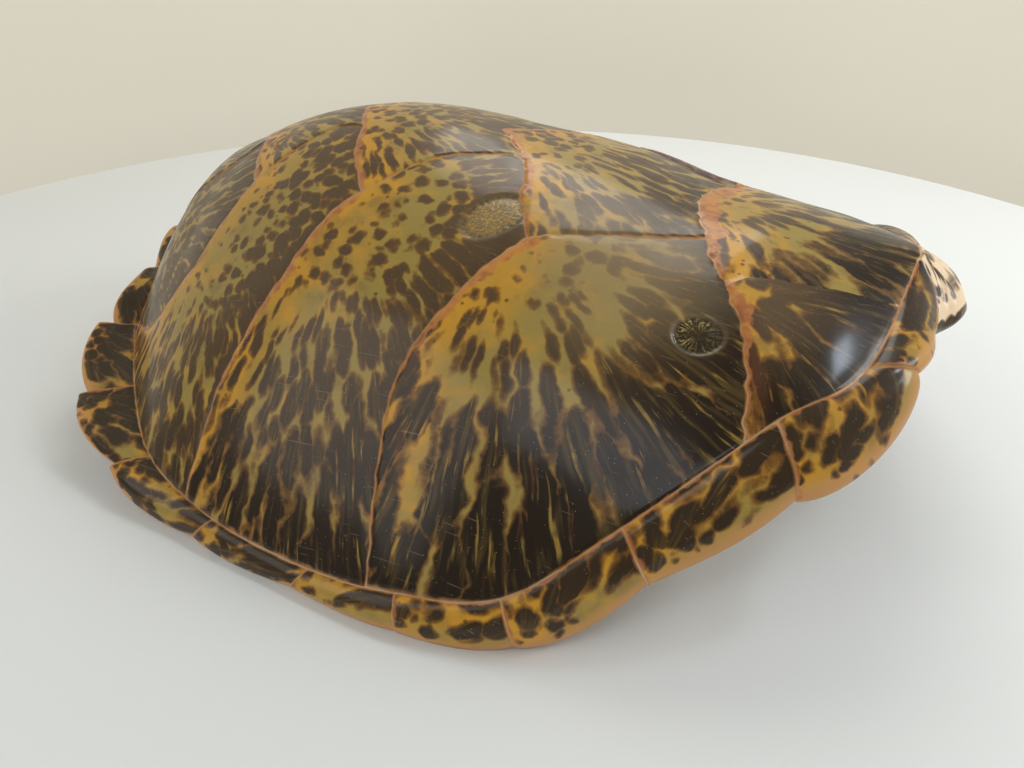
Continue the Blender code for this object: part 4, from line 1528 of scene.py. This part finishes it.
@dataclass
class Studio:
    """A pale table in a light tent, soft lamps, and the camera at the photograph's angle."""

    eye: tuple[float, float, float] = (0.2075, -0.453, 0.2995)
    azimuth: float = 23.2
    pitch: float = 32.0
    sensor_width: float = 36.0
    focal_pixels: float = 720.0
    image_width: float = 1024.0
    table_centre: tuple[float, float] = (-0.05, 0.08)
    table_radius: float = 0.76
    table_drop: float = 0.0003  # how far the table top lies under the shell's rests
    sides: int = 96
    cloth_rows: tuple[tuple[float, float], ...] = (
        (1.15, -0.25), (1.3, 0.1), (1.45, 0.8), (1.4, 1.5), (1.1, 2.0), (0.55, 2.25),
    )
    table_colour: Colour = (0.80, 0.83, 0.84, 1)
    cloth_colour: Colour = (0.76, 0.73, 0.63, 1)
    shade_colour: Colour = (0.42, 0.40, 0.35, 1)
    cloth_glow: float = 0.14
    shade_glow: float = 0.05
    glow_colour: Colour = (1.0, 0.955, 0.83, 1)
    room_colour: Colour = (1.0, 0.97, 0.92, 1)
    room_light: float = 0.13
    room_shown: float = 0.6  # as the camera sees it

    def camera(self) -> None:
        """Set the camera."""
        lens = bpy.data.cameras.new("camera")
        lens.sensor_width = self.sensor_width
        lens.lens = self.sensor_width * self.focal_pixels / self.image_width
        lens.clip_start = 0.02
        camera = bpy.data.objects.new("camera", lens)
        camera.location = self.eye
        camera.rotation_euler = Euler((math.radians(90 - self.pitch), 0, math.radians(self.azimuth)))
        bpy.context.scene.collection.objects.link(camera)
        bpy.context.scene.camera = camera

    def plain(self, name: str, colour: Colour, glow: float) -> bpy.types.Material:
        """A plain stage material; one that glows, as lit cloth does, falls into shade high on the right."""
        material, bench, shader = new_material(name)
        place = bench.place()
        darker = tuple(c * 0.95 for c in colour[:3]) + (1.0,)
        tone = bench.mix(bench.noise(place, 1.5), colour, darker)
        if glow:
            x, _, z = bench.split(place)
            shade = bench.times(bench.step(x, 0.0, 0.8), bench.step(z, 0.3, 0.9))
            tone = bench.mix(shade, tone, self.shade_colour)
            bench.put(shader.inputs["Emission Strength"], bench.blend(shade, glow, self.shade_glow))
        bench.fill(shader, {"Base Color": tone, "Roughness": 0.6, "Emission Color": self.glow_colour})
        return material

    def table(self) -> None:
        """Lay the round table top, and stand the tent's cloth behind it."""
        turns = [2 * math.pi * n / self.sides for n in range(self.sides)]
        cx, cy = self.table_centre
        reach = self.table_radius
        rim = [(cx + reach * math.cos(t), cy + reach * math.sin(t), -self.table_drop) for t in turns]
        top = bpy.data.meshes.new("table_top")
        top.from_pydata(rim, [], [list(range(self.sides))])
        cloth = bpy.data.meshes.new("tent_cloth")
        sweep = [math.radians(-25 + 230 * n / self.sides) for n in range(self.sides + 1)]
        points = [(r * math.cos(t), r * math.sin(t) + 0.1, z) for r, z in self.cloth_rows for t in sweep]
        starts = [k * len(sweep) + n for k in range(len(self.cloth_rows) - 1) for n in range(self.sides)]
        cloth.from_pydata(points, [], [(i, i + len(sweep), i + len(sweep) + 1, i + 1) for i in starts])
        cloth.shade_smooth()
        for mesh, colour, glow in ((top, self.table_colour, 0.0), (cloth, self.cloth_colour, self.cloth_glow)):
            mesh.materials.append(self.plain(mesh.name, colour, glow))
            thing = bpy.data.objects.new(mesh.name, mesh)
            bpy.context.scene.collection.objects.link(thing)

    def room(self) -> None:
        """Light the room faintly and show it brighter to the camera."""
        world = bpy.data.worlds.new("room")
        world.use_nodes = True
        bench = NodeBench(world.node_tree)
        seen = bench.add("ShaderNodeLightPath").outputs["Is Camera Ray"]
        strength = bench.blend(seen, self.room_light, self.room_shown)
        bench.fill(world.node_tree.nodes["Background"], {"Color": self.room_colour, "Strength": strength})
        bpy.context.scene.world = world

    def build(self) -> None:
        """Set up the whole studio."""
        self.camera()
        self.table()
        for lamp in LAMPS:
            lamp.hang()
        self.room()
        bpy.context.scene.view_settings.view_transform = "Standard"


def main() -> None:
    """Build the shell and its studio."""
    logging.basicConfig(level=logging.INFO, format="%(name)s: %(message)s")
    Studio().build()
    shell = Shell().build()
    LOG.info("built %s", shell.name)


if __name__ == "__main__":
    main()
